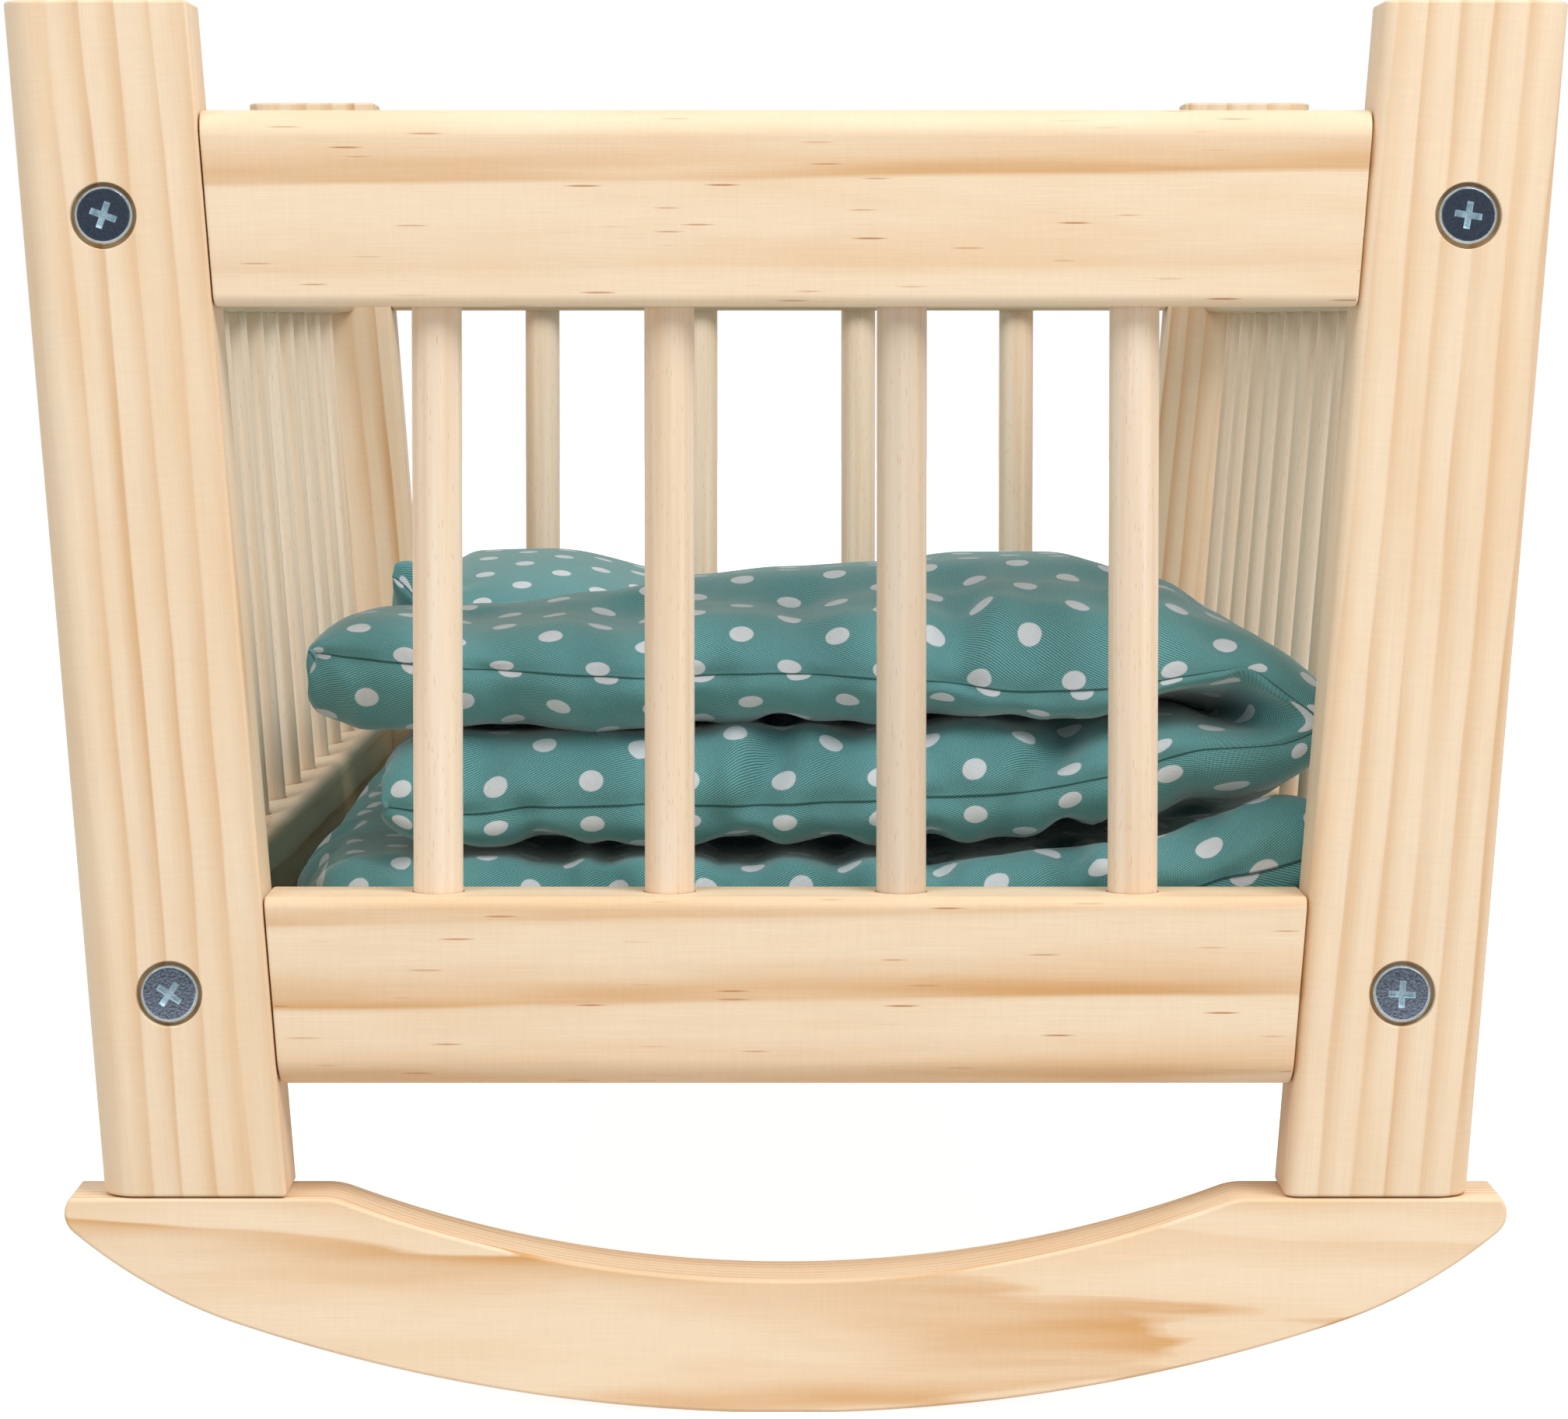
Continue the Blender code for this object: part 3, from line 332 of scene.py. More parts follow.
def deselect_all():
    """Back to object mode with nothing selected."""
    if bpy.context.object and bpy.context.object.mode != "OBJECT":
        bpy.ops.object.mode_set(mode="OBJECT")
    bpy.ops.object.select_all(action="DESELECT")


def make_active(piece):
    """Select one piece alone."""
    deselect_all()
    piece.select_set(True)
    bpy.context.view_layer.objects.active = piece


def adopt(name):
    """Name the new primitive and bake its place into its mesh."""
    piece = bpy.context.object
    piece.name = name
    piece.data.name = name
    bpy.ops.object.transform_apply(location=True, rotation=True, scale=True)
    return piece


def add_block(name, centre, size, turn=(0, 0, 0)):
    """A block of wood at its size and place."""
    deselect_all()
    bpy.ops.mesh.primitive_cube_add(size=1, location=centre, rotation=turn, scale=size)
    return adopt(name)


def add_rod(name, centre, radius, length, turn=(0, 0, 0), sides=48):
    """A round rod about local Z at its size and place."""
    deselect_all()
    bpy.ops.mesh.primitive_cylinder_add(vertices=sides, radius=radius, depth=length,
                                        location=centre, rotation=turn)
    return adopt(name)


def edit(piece):
    """Edit mode with nothing selected."""
    make_active(piece)
    bpy.ops.object.mode_set(mode="EDIT")
    bpy.ops.mesh.select_mode(type="EDGE")
    bpy.ops.mesh.select_all(action="DESELECT")

def select_where(piece, kind, wanted):
    """Select the edges or faces that pass a test, from none; returns how many."""
    bm = bmesh.from_edit_mesh(piece.data)
    found = [item for item in getattr(bm, kind) if wanted(item)]
    for item in found:
        item.select_set(True)
    bmesh.update_edit_mesh(piece.data)
    return len(found)


def bevel_edges(piece, wanted, offset, segments):
    """Round the edges whose two ends pass a test."""
    edit(piece)
    if not select_where(piece, "edges", lambda edge: wanted(*[end.co for end in edge.verts])):
        raise RuntimeError(f"{piece.name}: no edge to round")
    bpy.ops.mesh.bevel(offset=offset, segments=segments, profile=0.5, clamp_overlap=True)
    bpy.ops.object.mode_set(mode="OBJECT")


def edit_whole(piece, operator, **settings):
    """Run an edit mode operator on all of a piece."""
    edit(piece)
    bpy.ops.mesh.select_all(action="SELECT")
    operator(**settings)
    bpy.ops.object.mode_set(mode="OBJECT")


def cut_off(piece, point, normal):
    """Saw a piece at a plane, drop what lies beyond it and close the cut."""
    edit_whole(piece, bpy.ops.mesh.bisect, plane_co=point, plane_no=normal, use_fill=True,
               clear_outer=True)


def apply_modifier(piece, kind, **settings):
    """Finish a piece with a modifier."""
    make_active(piece)
    modifier = piece.modifiers.new(kind, kind)
    for key, value in settings.items():
        setattr(modifier, key, value)
    bpy.ops.object.modifier_apply(modifier=modifier.name)


def cut_out(piece, tool, operation="DIFFERENCE"):
    """Apply a Boolean and delete the tool."""
    apply_modifier(piece, "BOOLEAN", operation=operation, solver="EXACT", object=tool)
    bpy.data.objects.remove(tool)


def smooth(piece):
    """Smooth shading that keeps flat faces flat and corners sharp."""
    make_active(piece)
    bpy.ops.object.shade_smooth_by_angle(angle=SHADE_ANGLE)
    apply_modifier(piece, "WEIGHTED_NORMAL", keep_sharp=True)


def copy_mirrored(source, name, across, along):
    """Copy a piece with its own mesh to another corner; across and along are 1 or -1."""
    make_active(source)
    bpy.ops.object.duplicate()
    copy = bpy.context.object
    copy.scale = (across, along, 1)
    adopt(name)
    if across * along < 0:
        edit_whole(copy, bpy.ops.mesh.normals_make_consistent, inside=False)
    return copy


def values_of(items, key, width=1):
    """One property of every item, as an array."""
    values = np.empty(len(items) * width)
    items.foreach_get(key, values)
    return values.reshape(-1, width) if width > 1 else values


def store(mesh, name, values, kind="FLOAT"):
    """Store a value or vector for every point of a mesh as an attribute."""
    attribute = mesh.attributes.new(name, kind, "POINT")
    key = "value" if kind == "FLOAT" else "vector"
    attribute.data.foreach_set(key, values.astype(np.float32).ravel())


def set_grain(piece, origin, along, across, pith, tone=0.0, figure=1.0, broad=1.0):
    """Store where each point lies in its log, and how dark, lively and broad-ringed the board is.

    The grain attribute holds metres across the log from its pith, and along it.
    """
    mesh = piece.data
    along = Vector(along).normalized()
    across = Vector(across)
    across = (across - along * across.dot(along)).normalized()
    rows = np.array([across, along.cross(across), along])
    local = (values_of(mesh.vertices, "co", 3) - np.array(origin)) @ rows.T + np.array(pith)
    store(mesh, "grain", local, "FLOAT_VECTOR")
    for key, value in (("tone", tone), ("figure", figure), ("broad", broad)):
        store(mesh, key, np.full(len(mesh.vertices), value))


def cover(piece, material):
    """Give a piece one material alone."""
    piece.data.materials.clear()
    piece.data.materials.append(material)


def settle(piece, material, node, body="root"):
    """Give a finished piece its material and body, and hide the imported node that it stands for.
    """
    cover(piece, material)
    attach(piece, body)
    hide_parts(node)


# Materials

def linear(text):
    """Linear RGBA of an sRGB hex colour."""
    values = [int(text[index:index + 2], 16) / 255 for index in (1, 3, 5)]
    return (*[v / 12.92 if v <= 0.04045 else ((v + 0.055) / 1.055) ** 2.4 for v in values], 1.0)


def connect(tree, node, inputs):
    """Give a node's inputs values or sockets, in their order or by name or number."""
    for key, value in inputs.items() if isinstance(inputs, dict) else enumerate(inputs):
        if isinstance(value, bpy.types.NodeSocket):
            tree.links.new(value, node.inputs[key])
        else:
            node.inputs[key].default_value = value


def add_node(tree, kind, inputs=(), out=0, **settings):
    """Add a node with its settings and inputs and return one of its outputs."""
    node = tree.nodes.new("ShaderNode" + kind)
    for key, value in settings.items():
        setattr(node, key, value)
    connect(tree, node, inputs)
    return node.outputs[out]


def new_material(name):
    """A material, and how to add its nodes and to set its Principled shader."""
    material = bpy.data.materials.new(name)
    material.use_nodes = True
    tree = material.node_tree
    return material, partial(add_node, tree), partial(connect, tree, tree.nodes["Principled BSDF"])


def grain_noise(add, place, across, along, offset=0.0, detail=2.0):
    """Noise whose grains measure across by along millimetres in a board's own frame."""
    scale = (1000 / across, 1000 / across, 1000 / along)
    mapped = add("Mapping", {"Vector": place, "Location": (offset,) * 3, "Scale": scale})
    return add("TexNoise", {"Vector": mapped, "Scale": 1.0, "Detail": detail})


def softwood(name, wood):
    """Planed radiata pine: pale earlywood, tan latewood lines, short brown resin dashes.

    It is bare and sanded, so it is satin, not glossy, and shows faint marks across the grain.
    """
    material, add, finish = new_material(name)
    place = add("Attribute", out="Vector", attribute_name="grain")
    tone, figure, broad = (add("Attribute", out="Fac", attribute_name=key)
                           for key in ("tone", "figure", "broad"))
    x, y, z = (add("SeparateXYZ", [place], axis) for axis in range(3))

    wander = add("Math", (grain_noise(add, place, 26, 160), 0.0064, -0.0032),
                 operation="MULTIPLY_ADD")
    waver = add("Math", (grain_noise(add, place, 7, 60, 5.0), 0.0014, -0.0007),
                operation="MULTIPLY_ADD")
    across = add("Math", (x, wander), operation="ADD")
    inward = add("Math", (wander, 0.45, y), operation="MULTIPLY_ADD")
    radius = add("VectorMath", [add("CombineXYZ", (across, inward, 0.0))], "Value",
                 operation="LENGTH")
    taper = add("Math", (z, 0.012, waver), operation="MULTIPLY_ADD")
    radius = add("Math", (radius, taper), operation="ADD")
    pitch = add("Math", (broad, wood.ring_pitch), operation="MULTIPLY")
    rings = add("Math", (radius, pitch), operation="DIVIDE")
    year = add("Math", [rings], operation="FLOOR")
    strength = add("TexWhiteNoise", {"W": year}, noise_dimensions="1D")
    growth = add("ValToRGB", [add("Math", [rings], operation="FRACT")])
    elements = growth.node.color_ramp.elements
    stops = ((0.0, 0.20), (0.07, 0.0), (0.40, 0.05), (0.66, 0.45), (0.88, 0.92), (0.95, 1.0),
             (1.0, 0.20))
    for index, (position, value) in enumerate(stops):
        element = elements[index] if index < len(elements) else elements.new(position)
        element.position = position
        element.color = (value, value, value, 1.0)
    lively = add("MapRange", (strength, 0.0, 1.0, 0.28, 1.15))
    patches = add("MapRange", (grain_noise(add, place, 5, 70, 9.0, 1.0), 0.25, 0.7, 0.40, 1.2))
    late = growth
    for factor in (lively, patches, figure):
        late = add("Math", (late, factor), operation="MULTIPLY")
    colour = add("Mix", {0: late, 6: wood.pine_pale, 7: wood.pine_tan}, 2, data_type="RGBA")
    cloud = add("MapRange", (grain_noise(add, place, 9, 55, 2.0), 0.4, 0.72, 0.0, 0.34))
    colour = add("Mix", {0: cloud, 6: colour, 7: wood.pine_warm}, 2, data_type="RGBA")

    # Dashes of 26 by 1.5 mm, on broad-ringed boards alone
    mapped = add("Mapping", {"Vector": place, "Scale": (1000 / 1.5, 1000 / 1.5, 1000 / 26)})
    distance = add("TexVoronoi", {"Vector": mapped, "Scale": 1.0})
    lot = add("SeparateColor", [distance.node.outputs["Color"]])
    dash = add("MapRange", (distance, 0.08, 0.16, 1.0, 0.0))
    for factor in (add("MapRange", (lot, 0.28, 0.85)), add("MapRange", (broad, 1.3, 2.2))):
        dash = add("Math", (dash, factor), operation="MULTIPLY")
    share = add("Math", (dash, 0.85), operation="MULTIPLY")
    colour = add("Mix", {0: share, 6: colour, 7: wood.dash}, 2, data_type="RGBA")

    # Fibres of 14 by 0.35 mm and planing marks 0.7 mm apart, about an even tone
    fibres = grain_noise(add, place, 0.35, 14, 3.0)
    marks = grain_noise(add, place, 7, 0.7, 4.0)
    even = add("Math", (tone, 1.0 - 0.060 - 0.035), operation="ADD")
    fine = add("Math", (marks, 2 * 0.035, even), operation="MULTIPLY_ADD")
    fine = add("Math", (fibres, 2 * 0.060, fine), operation="MULTIPLY_ADD")
    colour = add("Mix", {0: 1.0, 6: colour, 7: fine}, 2, data_type="RGBA", blend_type="MULTIPLY")
    relief = add("Math", (dash, -0.8), operation="MULTIPLY")
    relief = add("Math", (late, 0.35, relief), operation="MULTIPLY_ADD")
    relief = add("Math", (fibres, 0.5, relief), operation="MULTIPLY_ADD")
    finish({"Base Color": colour, "Roughness": add("MapRange", (late, 0.0, 1.0, 0.58, 0.46)),
            "IOR": 1.45, "Specular IOR Level": 0.35,
            "Normal": add("Bump", {"Height": relief, "Strength": 0.22, "Distance": 0.0002})})
    return material


def dowel_wood(name, wood):
    """Turned birch dowel: even, pinkish cream, with fine straight grain and tiny pores.

    It is sanded bare, so it has a slightly tighter gloss than the planed boards.
    """
    material, add, finish = new_material(name)
    place = add("Attribute", out="Vector", attribute_name="grain")
    tone = add("Attribute", out="Fac", attribute_name="tone")
    bands = add("MapRange", (grain_noise(add, place, 2.2, 120), 0.35, 0.75, 0.0, 0.75))
    colour = add("Mix", {0: bands, 6: wood.dowel_pale, 7: wood.dowel_tan}, 2, data_type="RGBA")
    mapped = add("Mapping", {"Vector": place, "Scale": (1000 / 0.55, 1000 / 0.55, 1000 / 5.5)})
    distance = add("TexVoronoi", {"Vector": mapped, "Scale": 1.0})
    pore = add("MapRange", (distance, 0.10, 0.2, 0.30, 0.0))
    colour = add("Mix", {0: pore, 6: colour, 7: wood.dash}, 2, data_type="RGBA")
    fibres = grain_noise(add, place, 0.3, 9, 3.0)
    even = add("Math", (tone, 1.0 - 0.05), operation="ADD")
    fine = add("Math", (fibres, 2 * 0.05, even), operation="MULTIPLY_ADD")
    colour = add("Mix", {0: 1.0, 6: colour, 7: fine}, 2, data_type="RGBA", blend_type="MULTIPLY")
    finish({"Base Color": colour, "Roughness": 0.5, "IOR": 1.45, "Specular IOR Level": 0.35,
            "Normal": add("Bump", {"Height": fibres, "Strength": 0.2, "Distance": 0.0001})})
    return material


def plywood(name, wood):
    """Birch plywood, rotary cut: broad soft figure, a glue line between plies at the edge."""
    material, add, finish = new_material(name)
    place = add("TexCoord", out="Object")
    mapped = add("Mapping", {"Vector": place, "Scale": (1000 / 14, 1000 / 120, 1000 / 14)})
    flame = add("TexNoise", {"Vector": mapped, "Scale": 1.0, "Detail": 3.0, "Distortion": 0.6})
    share = add("Math", (grain_noise(add, place, 40, 40, 0.0, 3.0), 0.3), operation="MULTIPLY")
    share = add("Math", (flame, 0.7, share), operation="MULTIPLY_ADD")
    share = add("MapRange", (share, 0.35, 0.65))
    colour = add("Mix", {0: share, 6: wood.ply_pale, 7: wood.ply_tan}, 2, data_type="RGBA")
    plies = add("Math", (add("SeparateXYZ", [place], 2), 1000 / 1.3), operation="MULTIPLY")
    plies = add("Math", (plies, 1.0), operation="PINGPONG")
    lines = add("MapRange", (plies, 0.0, 0.12, 0.8, 0.0))
    upright = add("SeparateXYZ", [add("NewGeometry", out="Normal")], 2)
    upright = add("Math", [upright], operation="ABSOLUTE")
    edge = add("Math", (upright, 0.5), operation="LESS_THAN")
    lines = add("Math", (lines, edge), operation="MULTIPLY")
    colour = add("Mix", {0: lines, 6: colour, 7: wood.dash}, 2, data_type="RGBA")
    finish({"Base Color": colour, "Roughness": 0.6, "IOR": 1.45,
            "Normal": add("Bump", {"Height": flame, "Strength": 0.1, "Distance": 0.0002})})
    return material


def zinc_plate(name, screws):
    """Blue passivated zinc on pressed steel: dark, speckled shine; the recess is a painted
    highlight, pale blue and not metallic.
    """
    material, add, finish = new_material(name)
    place = add("TexCoord", out="Object")
    spangle = add("TexNoise", {"Vector": place, "Scale": 1000 / 0.5, "Detail": 3.0})
    grey = add("MapRange", (spangle, 0.3, 0.7, 0.8, 1.1))
    # Painted highlight: below the face the recess turns pale blue and loses its metal, standing in
    # for the glint of its walls
    along = add("Math", [add("SeparateXYZ", [place], 1)], operation="ABSOLUTE")
    face = HALF_LENGTH - HEAD_DEPTH
    painted_recess_highlight = add("MapRange", (along, face - RECESS_DEPTH / 6, face, 1.0, 0.0))
    tint = add("Mix", {0: painted_recess_highlight, 6: screws.zinc, 7: screws.recess}, 2, data_type="RGBA")
    tint = add("Mix", {0: 1.0, 6: tint, 7: grey}, 2, data_type="RGBA", blend_type="MULTIPLY")
    finish({"Base Color": tint,
            "Metallic": add("Math", (painted_recess_highlight, -1.0, 1.0), operation="MULTIPLY_ADD"),
            "Roughness": add("MapRange", (spangle, 0.0, 1.0, 0.10, 0.32)),
            "Normal": add("Bump", {"Height": spangle, "Strength": 0.25, "Distance": 0.0001})})
    return material


def printed_cotton(name, cotton):
    """Cotton twill with a screen printed spot: matt, with fine slanting ribs and a soft bloom.

    The print sits on the yarn. The lit tops of the ribs and the shade between them are painted into
    the colour, and that painted shade shows through the spots as faint grey lines.
    """
    material, add, finish = new_material(name)
    cloth = add("UVMap", uv_map="cloth")
    seam = add("Attribute", out="Fac", attribute_name="seam")
    soft = add("TexNoise", {"Vector": cloth, "Scale": 1000 / 1.1, "Detail": 2.0})

    # Slanting ribs, and the picks that cross them, with painted light on the ribs and painted shade
    # in the gaps
    slant = add("Mapping", {"Vector": cloth, "Rotation": (0, 0, cotton.twill_angle),
                            "Scale": (1 / TWILL_PITCH,) * 3})
    rib, pick = (add("SeparateXYZ", [slant], axis) for axis in (0, 1))
    rib = add("Math", (rib, -0.22), operation="ADD")
    rib = add("Math", (soft, 2 * 0.22, rib), operation="MULTIPLY_ADD")
    pick = add("Math", (rib, 0.5, pick), operation="MULTIPLY_ADD")
    waves = []
    for phase, height, middle in ((rib, 0.5, 0.5), (pick, 0.2, 0.8)):
        turn = add("Math", (phase, 2 * math.pi), operation="MULTIPLY")
        wave = add("Math", [turn], operation="SINE")
        waves.append(add("Math", (wave, height, middle), operation="MULTIPLY_ADD"))
    weave = add("Math", waves, operation="MULTIPLY")
    colour = add("Mix", {0: weave, 6: cotton.gap, 7: cotton.yarn}, 2, data_type="RGBA")

    # Spots on a square lattice that is turned by 45 degrees, their edge blurred by 0.12 mm
    lattice = add("Mapping", {"Vector": cloth, "Rotation": (0, 0, math.pi / 4),
                              "Scale": (1 / DOT_SPACING,) * 3})
    cell = add("VectorMath", [lattice], operation="FRACTION")
    cell = add("VectorMath", (cell, (0.5, 0.5, 0)), operation="SUBTRACT")
    reach = add("VectorMath", [cell], "Value", operation="LENGTH")
    reach = add("Math", (reach, DOT_SPACING, -DOT_BLUR), operation="MULTIPLY_ADD")
    reach = add("Math", (soft, 2 * DOT_BLUR, reach), operation="MULTIPLY_ADD")
    spot = add("MapRange", (reach, DOT_RADIUS - DOT_BLUR, DOT_RADIUS + DOT_BLUR, 1.0, 0.0))
    # Painted shade between the ribs greys the spots as well
    share = add("Math", (weave, 0.8), operation="MULTIPLY")
    white = add("Mix", {0: share, 6: cotton.spot_gap_shade, 7: cotton.spot}, 2, data_type="RGBA")
    colour = add("Mix", {0: spot, 6: colour, 7: white}, 2, data_type="RGBA")

    # Patches of 22 mm, darker and lighter by a tenth, and painted shade along the stitching
    wear = add("TexNoise", {"Vector": cloth, "Scale": 1000 / 22, "Detail": 3.0})
    tint = add("Math", (soft, 2 * 0.06, 1.0 - 0.06 - 0.10), operation="MULTIPLY_ADD")
    tint = add("Math", (wear, 2 * 0.10, tint), operation="MULTIPLY_ADD")
    colour = add("Mix", {0: 1.0, 6: colour, 7: tint}, 2, data_type="RGBA", blend_type="MULTIPLY")
    # Painted shade: the cloth darkens towards the crease of the seam
    seam_shade = add("MapRange", (seam, 0.00015, 0.0006, 0.85, 0.0))
    colour = add("Mix", {0: seam_shade, 6: colour, 7: cotton.seam}, 2, data_type="RGBA")
    relief = add("Math", (soft, 0.5, weave), operation="MULTIPLY_ADD")
    finish({"Base Color": colour, "Roughness": 0.85, "Specular IOR Level": 0.2,
            "Sheen Weight": 0.8, "Sheen Roughness": 0.35, "Sheen Tint": linear("#e6f2f0"),
            "Normal": add("Bump", {"Height": relief, "Strength": 0.3, "Distance": 0.0002})})
    return material


def shared(name, maker, group):
    """A material by name, made the first time that it is asked for."""
    return bpy.data.materials.get(name) or maker(name, group)


# Boards

def on_plane(point, normal):
    """A test for edges that lie in a plane."""
    point, normal = Vector(point), Vector(normal).normalized()

    def wanted(start, end):
        return all(abs((place - point).dot(normal)) < GAP / 10 for place in (start, end))
    return wanted


def post_edges(x_side, y_side):
    """A test for the long edges of the right front post on the given sides of its middle."""
    def wanted(start, end):
        line, middle = end - start, (start + end) / 2
        if line.length < OVERRUN or abs(line.normalized().dot(up_the_lean(LEAN))) < 0.999:
            return False
        right, rear = middle.x - post_centre_x(middle.z), middle.y + END_Y
        return right * x_side >= 0 and rear * y_side >= 0
    return wanted


def make_post(name, inner_front_round):
    """Right front post: a leaning board cut level, its outer edges round, bored for two screws."""
    middle_z = (TOP_Z + FOOT_Z) / 2
    length = (TOP_Z - FOOT_Z) / math.cos(LEAN) + 2 * POST_WIDTH
    post = add_block(name, (post_centre_x(middle_z), -END_Y, middle_z),
                     (POST_WIDTH, BOARD, length), (0, LEAN, 0))
    cut_off(post, (0, 0, TOP_Z), (0, 0, 1))
    cut_off(post, (0, 0, FOOT_Z), (0, 0, -1))
    bevel_edges(post, post_edges(1, 0), POST_OUTER_ROUND, 10)
    bevel_edges(post, post_edges(-1, -1), inner_front_round, 5)
    bevel_edges(post, post_edges(-1, 1), POST_REAR_ROUND, 4)
    for z in (TOP_Z, FOOT_Z):
        bevel_edges(post, on_plane((0, 0, z), (0, 0, 1)), END_EASE, 3)
    for z in (SIDE_UPPER_Z, SIDE_LOWER_Z):
        centre = Vector((side_plane_x(z), -HALF_LENGTH, z))
        cut_out(post, add_rod("bore", centre, BORE_DIAMETER / 2, 2 * BORE_DEPTH,
                              (math.pi / 2, 0, 0), 64))

        def rim(start, end, centre=centre):
            return all(abs(place.y - centre.y) < GAP / 10
                       and (place - centre).length < BORE_DIAMETER / 2 + GAP
                       for place in (start, end))
        bevel_edges(post, rim, BORE_EASE, 2)
    return post


def make_end_rail(node, upper):
    """Front end rail: a bar cut to the lean of the posts, bored for the spindles."""
    low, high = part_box(node)
    centre_z, height = (low.z + high.z) / 2, high.z - low.z
    rail = add_block(f"{node}_wood", (0, -END_Y, centre_z), (2 * TOP_HALF, RAIL_THICKNESS, height))
    ends = [((side * (post_inner_x(centre_z) - GAP), -END_Y, centre_z),
             (side * math.cos(LEAN), 0, -math.sin(LEAN))) for side in (-1, 1)]
    for point, normal in ends:
        cut_off(rail, point, normal)

    def long_edge(up):
        def wanted(start, end):
            flat = abs(start.z - end.z) < GAP and (end - start).length > POST_WIDTH
            return flat and (start.z - centre_z) * up > 0
        return wanted
    outer = 1 if upper else -1
    bevel_edges(rail, long_edge(outer), RAIL_OUTER_ROUND, 9)
    bevel_edges(rail, long_edge(-outer), RAIL_INNER_ROUND, 6)
    for point, normal in ends:
        bevel_edges(rail, on_plane(point, normal), END_EASE, 2)
    for number in END_SPINDLES:
        seat = (middle_of(f"end_spindle_front_{number}").x, -END_Y, centre_z - outer * height / 2)
        cut_out(rail, add_rod("seat", seat, SPINDLE_DIAMETER / 2 + GAP, 2 * SPINDLE_SEAT))
    if not upper:
        cut_out(rail, add_block("groove", (0, -INNER_Y, PANEL_MIDDLE_Z),
                                (2 * TOP_HALF, 2 * PANEL_GROOVE, PANEL_THICKNESS + 2 * GAP)))
    return rail


def make_side_rail(node, upper):
    """Right side rail: a bar between the posts, leaning with the side, bored for the spindles."""
    centre_z = middle_of(node).z
    centre = Vector((side_plane_x(centre_z), 0, centre_z))
    half = INNER_Y - GAP
    rail = add_block(f"{node}_wood", centre, (RAIL_THICKNESS, 2 * half, SIDE_RAIL_HEIGHT),
                     (0, LEAN, 0))
    up = up_the_lean(LEAN)
    outer = 1 if upper else -1

    def long_edge(side):
        def wanted(start, end):
            return abs(start.y - end.y) > half and (start - centre).dot(up) * side > 0
        return wanted
    bevel_edges(rail, long_edge(outer), RAIL_OUTER_ROUND, 9)
    bevel_edges(rail, long_edge(-outer), RAIL_INNER_ROUND, 6)
    for end in (-1, 1):
        bevel_edges(rail, on_plane((0, end * half, 0), (0, 1, 0)), END_EASE, 2)
    face = centre - up * outer * SIDE_RAIL_HEIGHT / 2
    for number in SIDE_SPINDLES:
        seat = face + Vector((0, middle_of(f"side_spindle_right_{number:02d}").y, 0))
        cut_out(rail, add_rod("seat", seat, SPINDLE_DIAMETER / 2 + GAP, 2 * SPINDLE_SEAT,
                              (0, LEAN, 0)))
    if not upper:
        inner = side_plane_x(PANEL_MIDDLE_Z) - RAIL_THICKNESS / 2 / math.cos(LEAN)
        cut_out(rail, add_block("groove", (inner, 0, PANEL_MIDDLE_Z),
                                (2 * PANEL_GROOVE, 2 * HALF_LENGTH, PANEL_THICKNESS + 2 * GAP)))
    return rail


def make_spindle(name, node, lean):
    """A dowel at its node's place, its ends chamfered for the seats."""
    low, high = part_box(node)
    length = (high.z - low.z - SPINDLE_DIAMETER * abs(math.sin(lean))) / math.cos(lean)
    middle, axis = middle_of(node), up_the_lean(lean)
    dowel = add_rod(name, middle, SPINDLE_DIAMETER / 2, length, (0, lean, 0), 40)
    for end in (-1, 1):
        bevel_edges(dowel, on_plane(middle + axis * end * length / 2, axis), END_EASE, 1)
    return dowel


# Rockers

def arc(centre, radius, start, stop, steps):
    """Points (x, z) on an arc; angles start at the bottom and turn towards +X."""
    turns = [start + (stop - start) * step / steps for step in range(steps + 1)]
    return [centre + radius * Vector((math.sin(turn), -math.cos(turn))) for turn in turns]


def rocker_lower_edge():
    """Right half of the running edge: flat foot, long arc, blend and round tip."""
    half_length = post_outer_x(ROCKER_TOP_Z) + ROCKER_OVERHANG
    foot_angle = math.asin(ROCKER_FLAT / 2 / ROCKER_RADIUS)
    arc_end = math.asin(ROCKER_ARC_SHARE * half_length / ROCKER_RADIUS)
    centre = Vector((0, ROCKER_RADIUS * math.cos(foot_angle)))
    points = arc(centre, ROCKER_RADIUS, foot_angle, arc_end, 28)
    tip = Vector((half_length - ROCKER_TIP_RADIUS, ROCKER_TOP_Z - ROCKER_TIP_DROP))
    tip_end = math.acos(-min(ROCKER_TIP_DROP / ROCKER_TIP_RADIUS, 1.0))
    round_tip = arc(tip, ROCKER_TIP_RADIUS, ROCKER_TIP_START, tip_end, 12)
    handle = (round_tip[0] - points[-1]).length / 3
    leave = Vector((math.cos(arc_end), math.sin(arc_end))) * handle
    arrive = Vector((math.cos(ROCKER_TIP_START), math.sin(ROCKER_TIP_START))) * handle
    knots = (points[-1], points[-1] + leave, round_tip[0] - arrive, round_tip[0])
    blend = interpolate_bezier(*[point.to_3d() for point in knots], 16)
    return points + [point.to_2d() for point in blend[1:-1]] + round_tip


def rocker_upper_edge():
    """Right half of the top, from the tip inwards: flat seat, rounded shoulder, hollow."""
    half_width = post_inner_x(ROCKER_TOP_Z) - ROCKER_SEAT_MARGIN
    radius = (half_width ** 2 + ROCKER_HOLLOW_DEPTH ** 2) / (2 * ROCKER_HOLLOW_DEPTH)
    centre = Vector((0, ROCKER_TOP_Z - ROCKER_HOLLOW_DEPTH + radius))
    shoulder_z = ROCKER_TOP_Z - ROCKER_SHOULDER_ROUND
    reach = radius + ROCKER_SHOULDER_ROUND
    shoulder = Vector((math.sqrt(reach ** 2 - (centre.y - shoulder_z) ** 2), shoulder_z))
    hollow_angle = math.asin(shoulder.x / reach)
    rounded = arc(shoulder, ROCKER_SHOULDER_ROUND, math.pi, math.pi + hollow_angle, 10)
    return rounded + arc(centre, radius, hollow_angle, 0.0, 28)[1:]


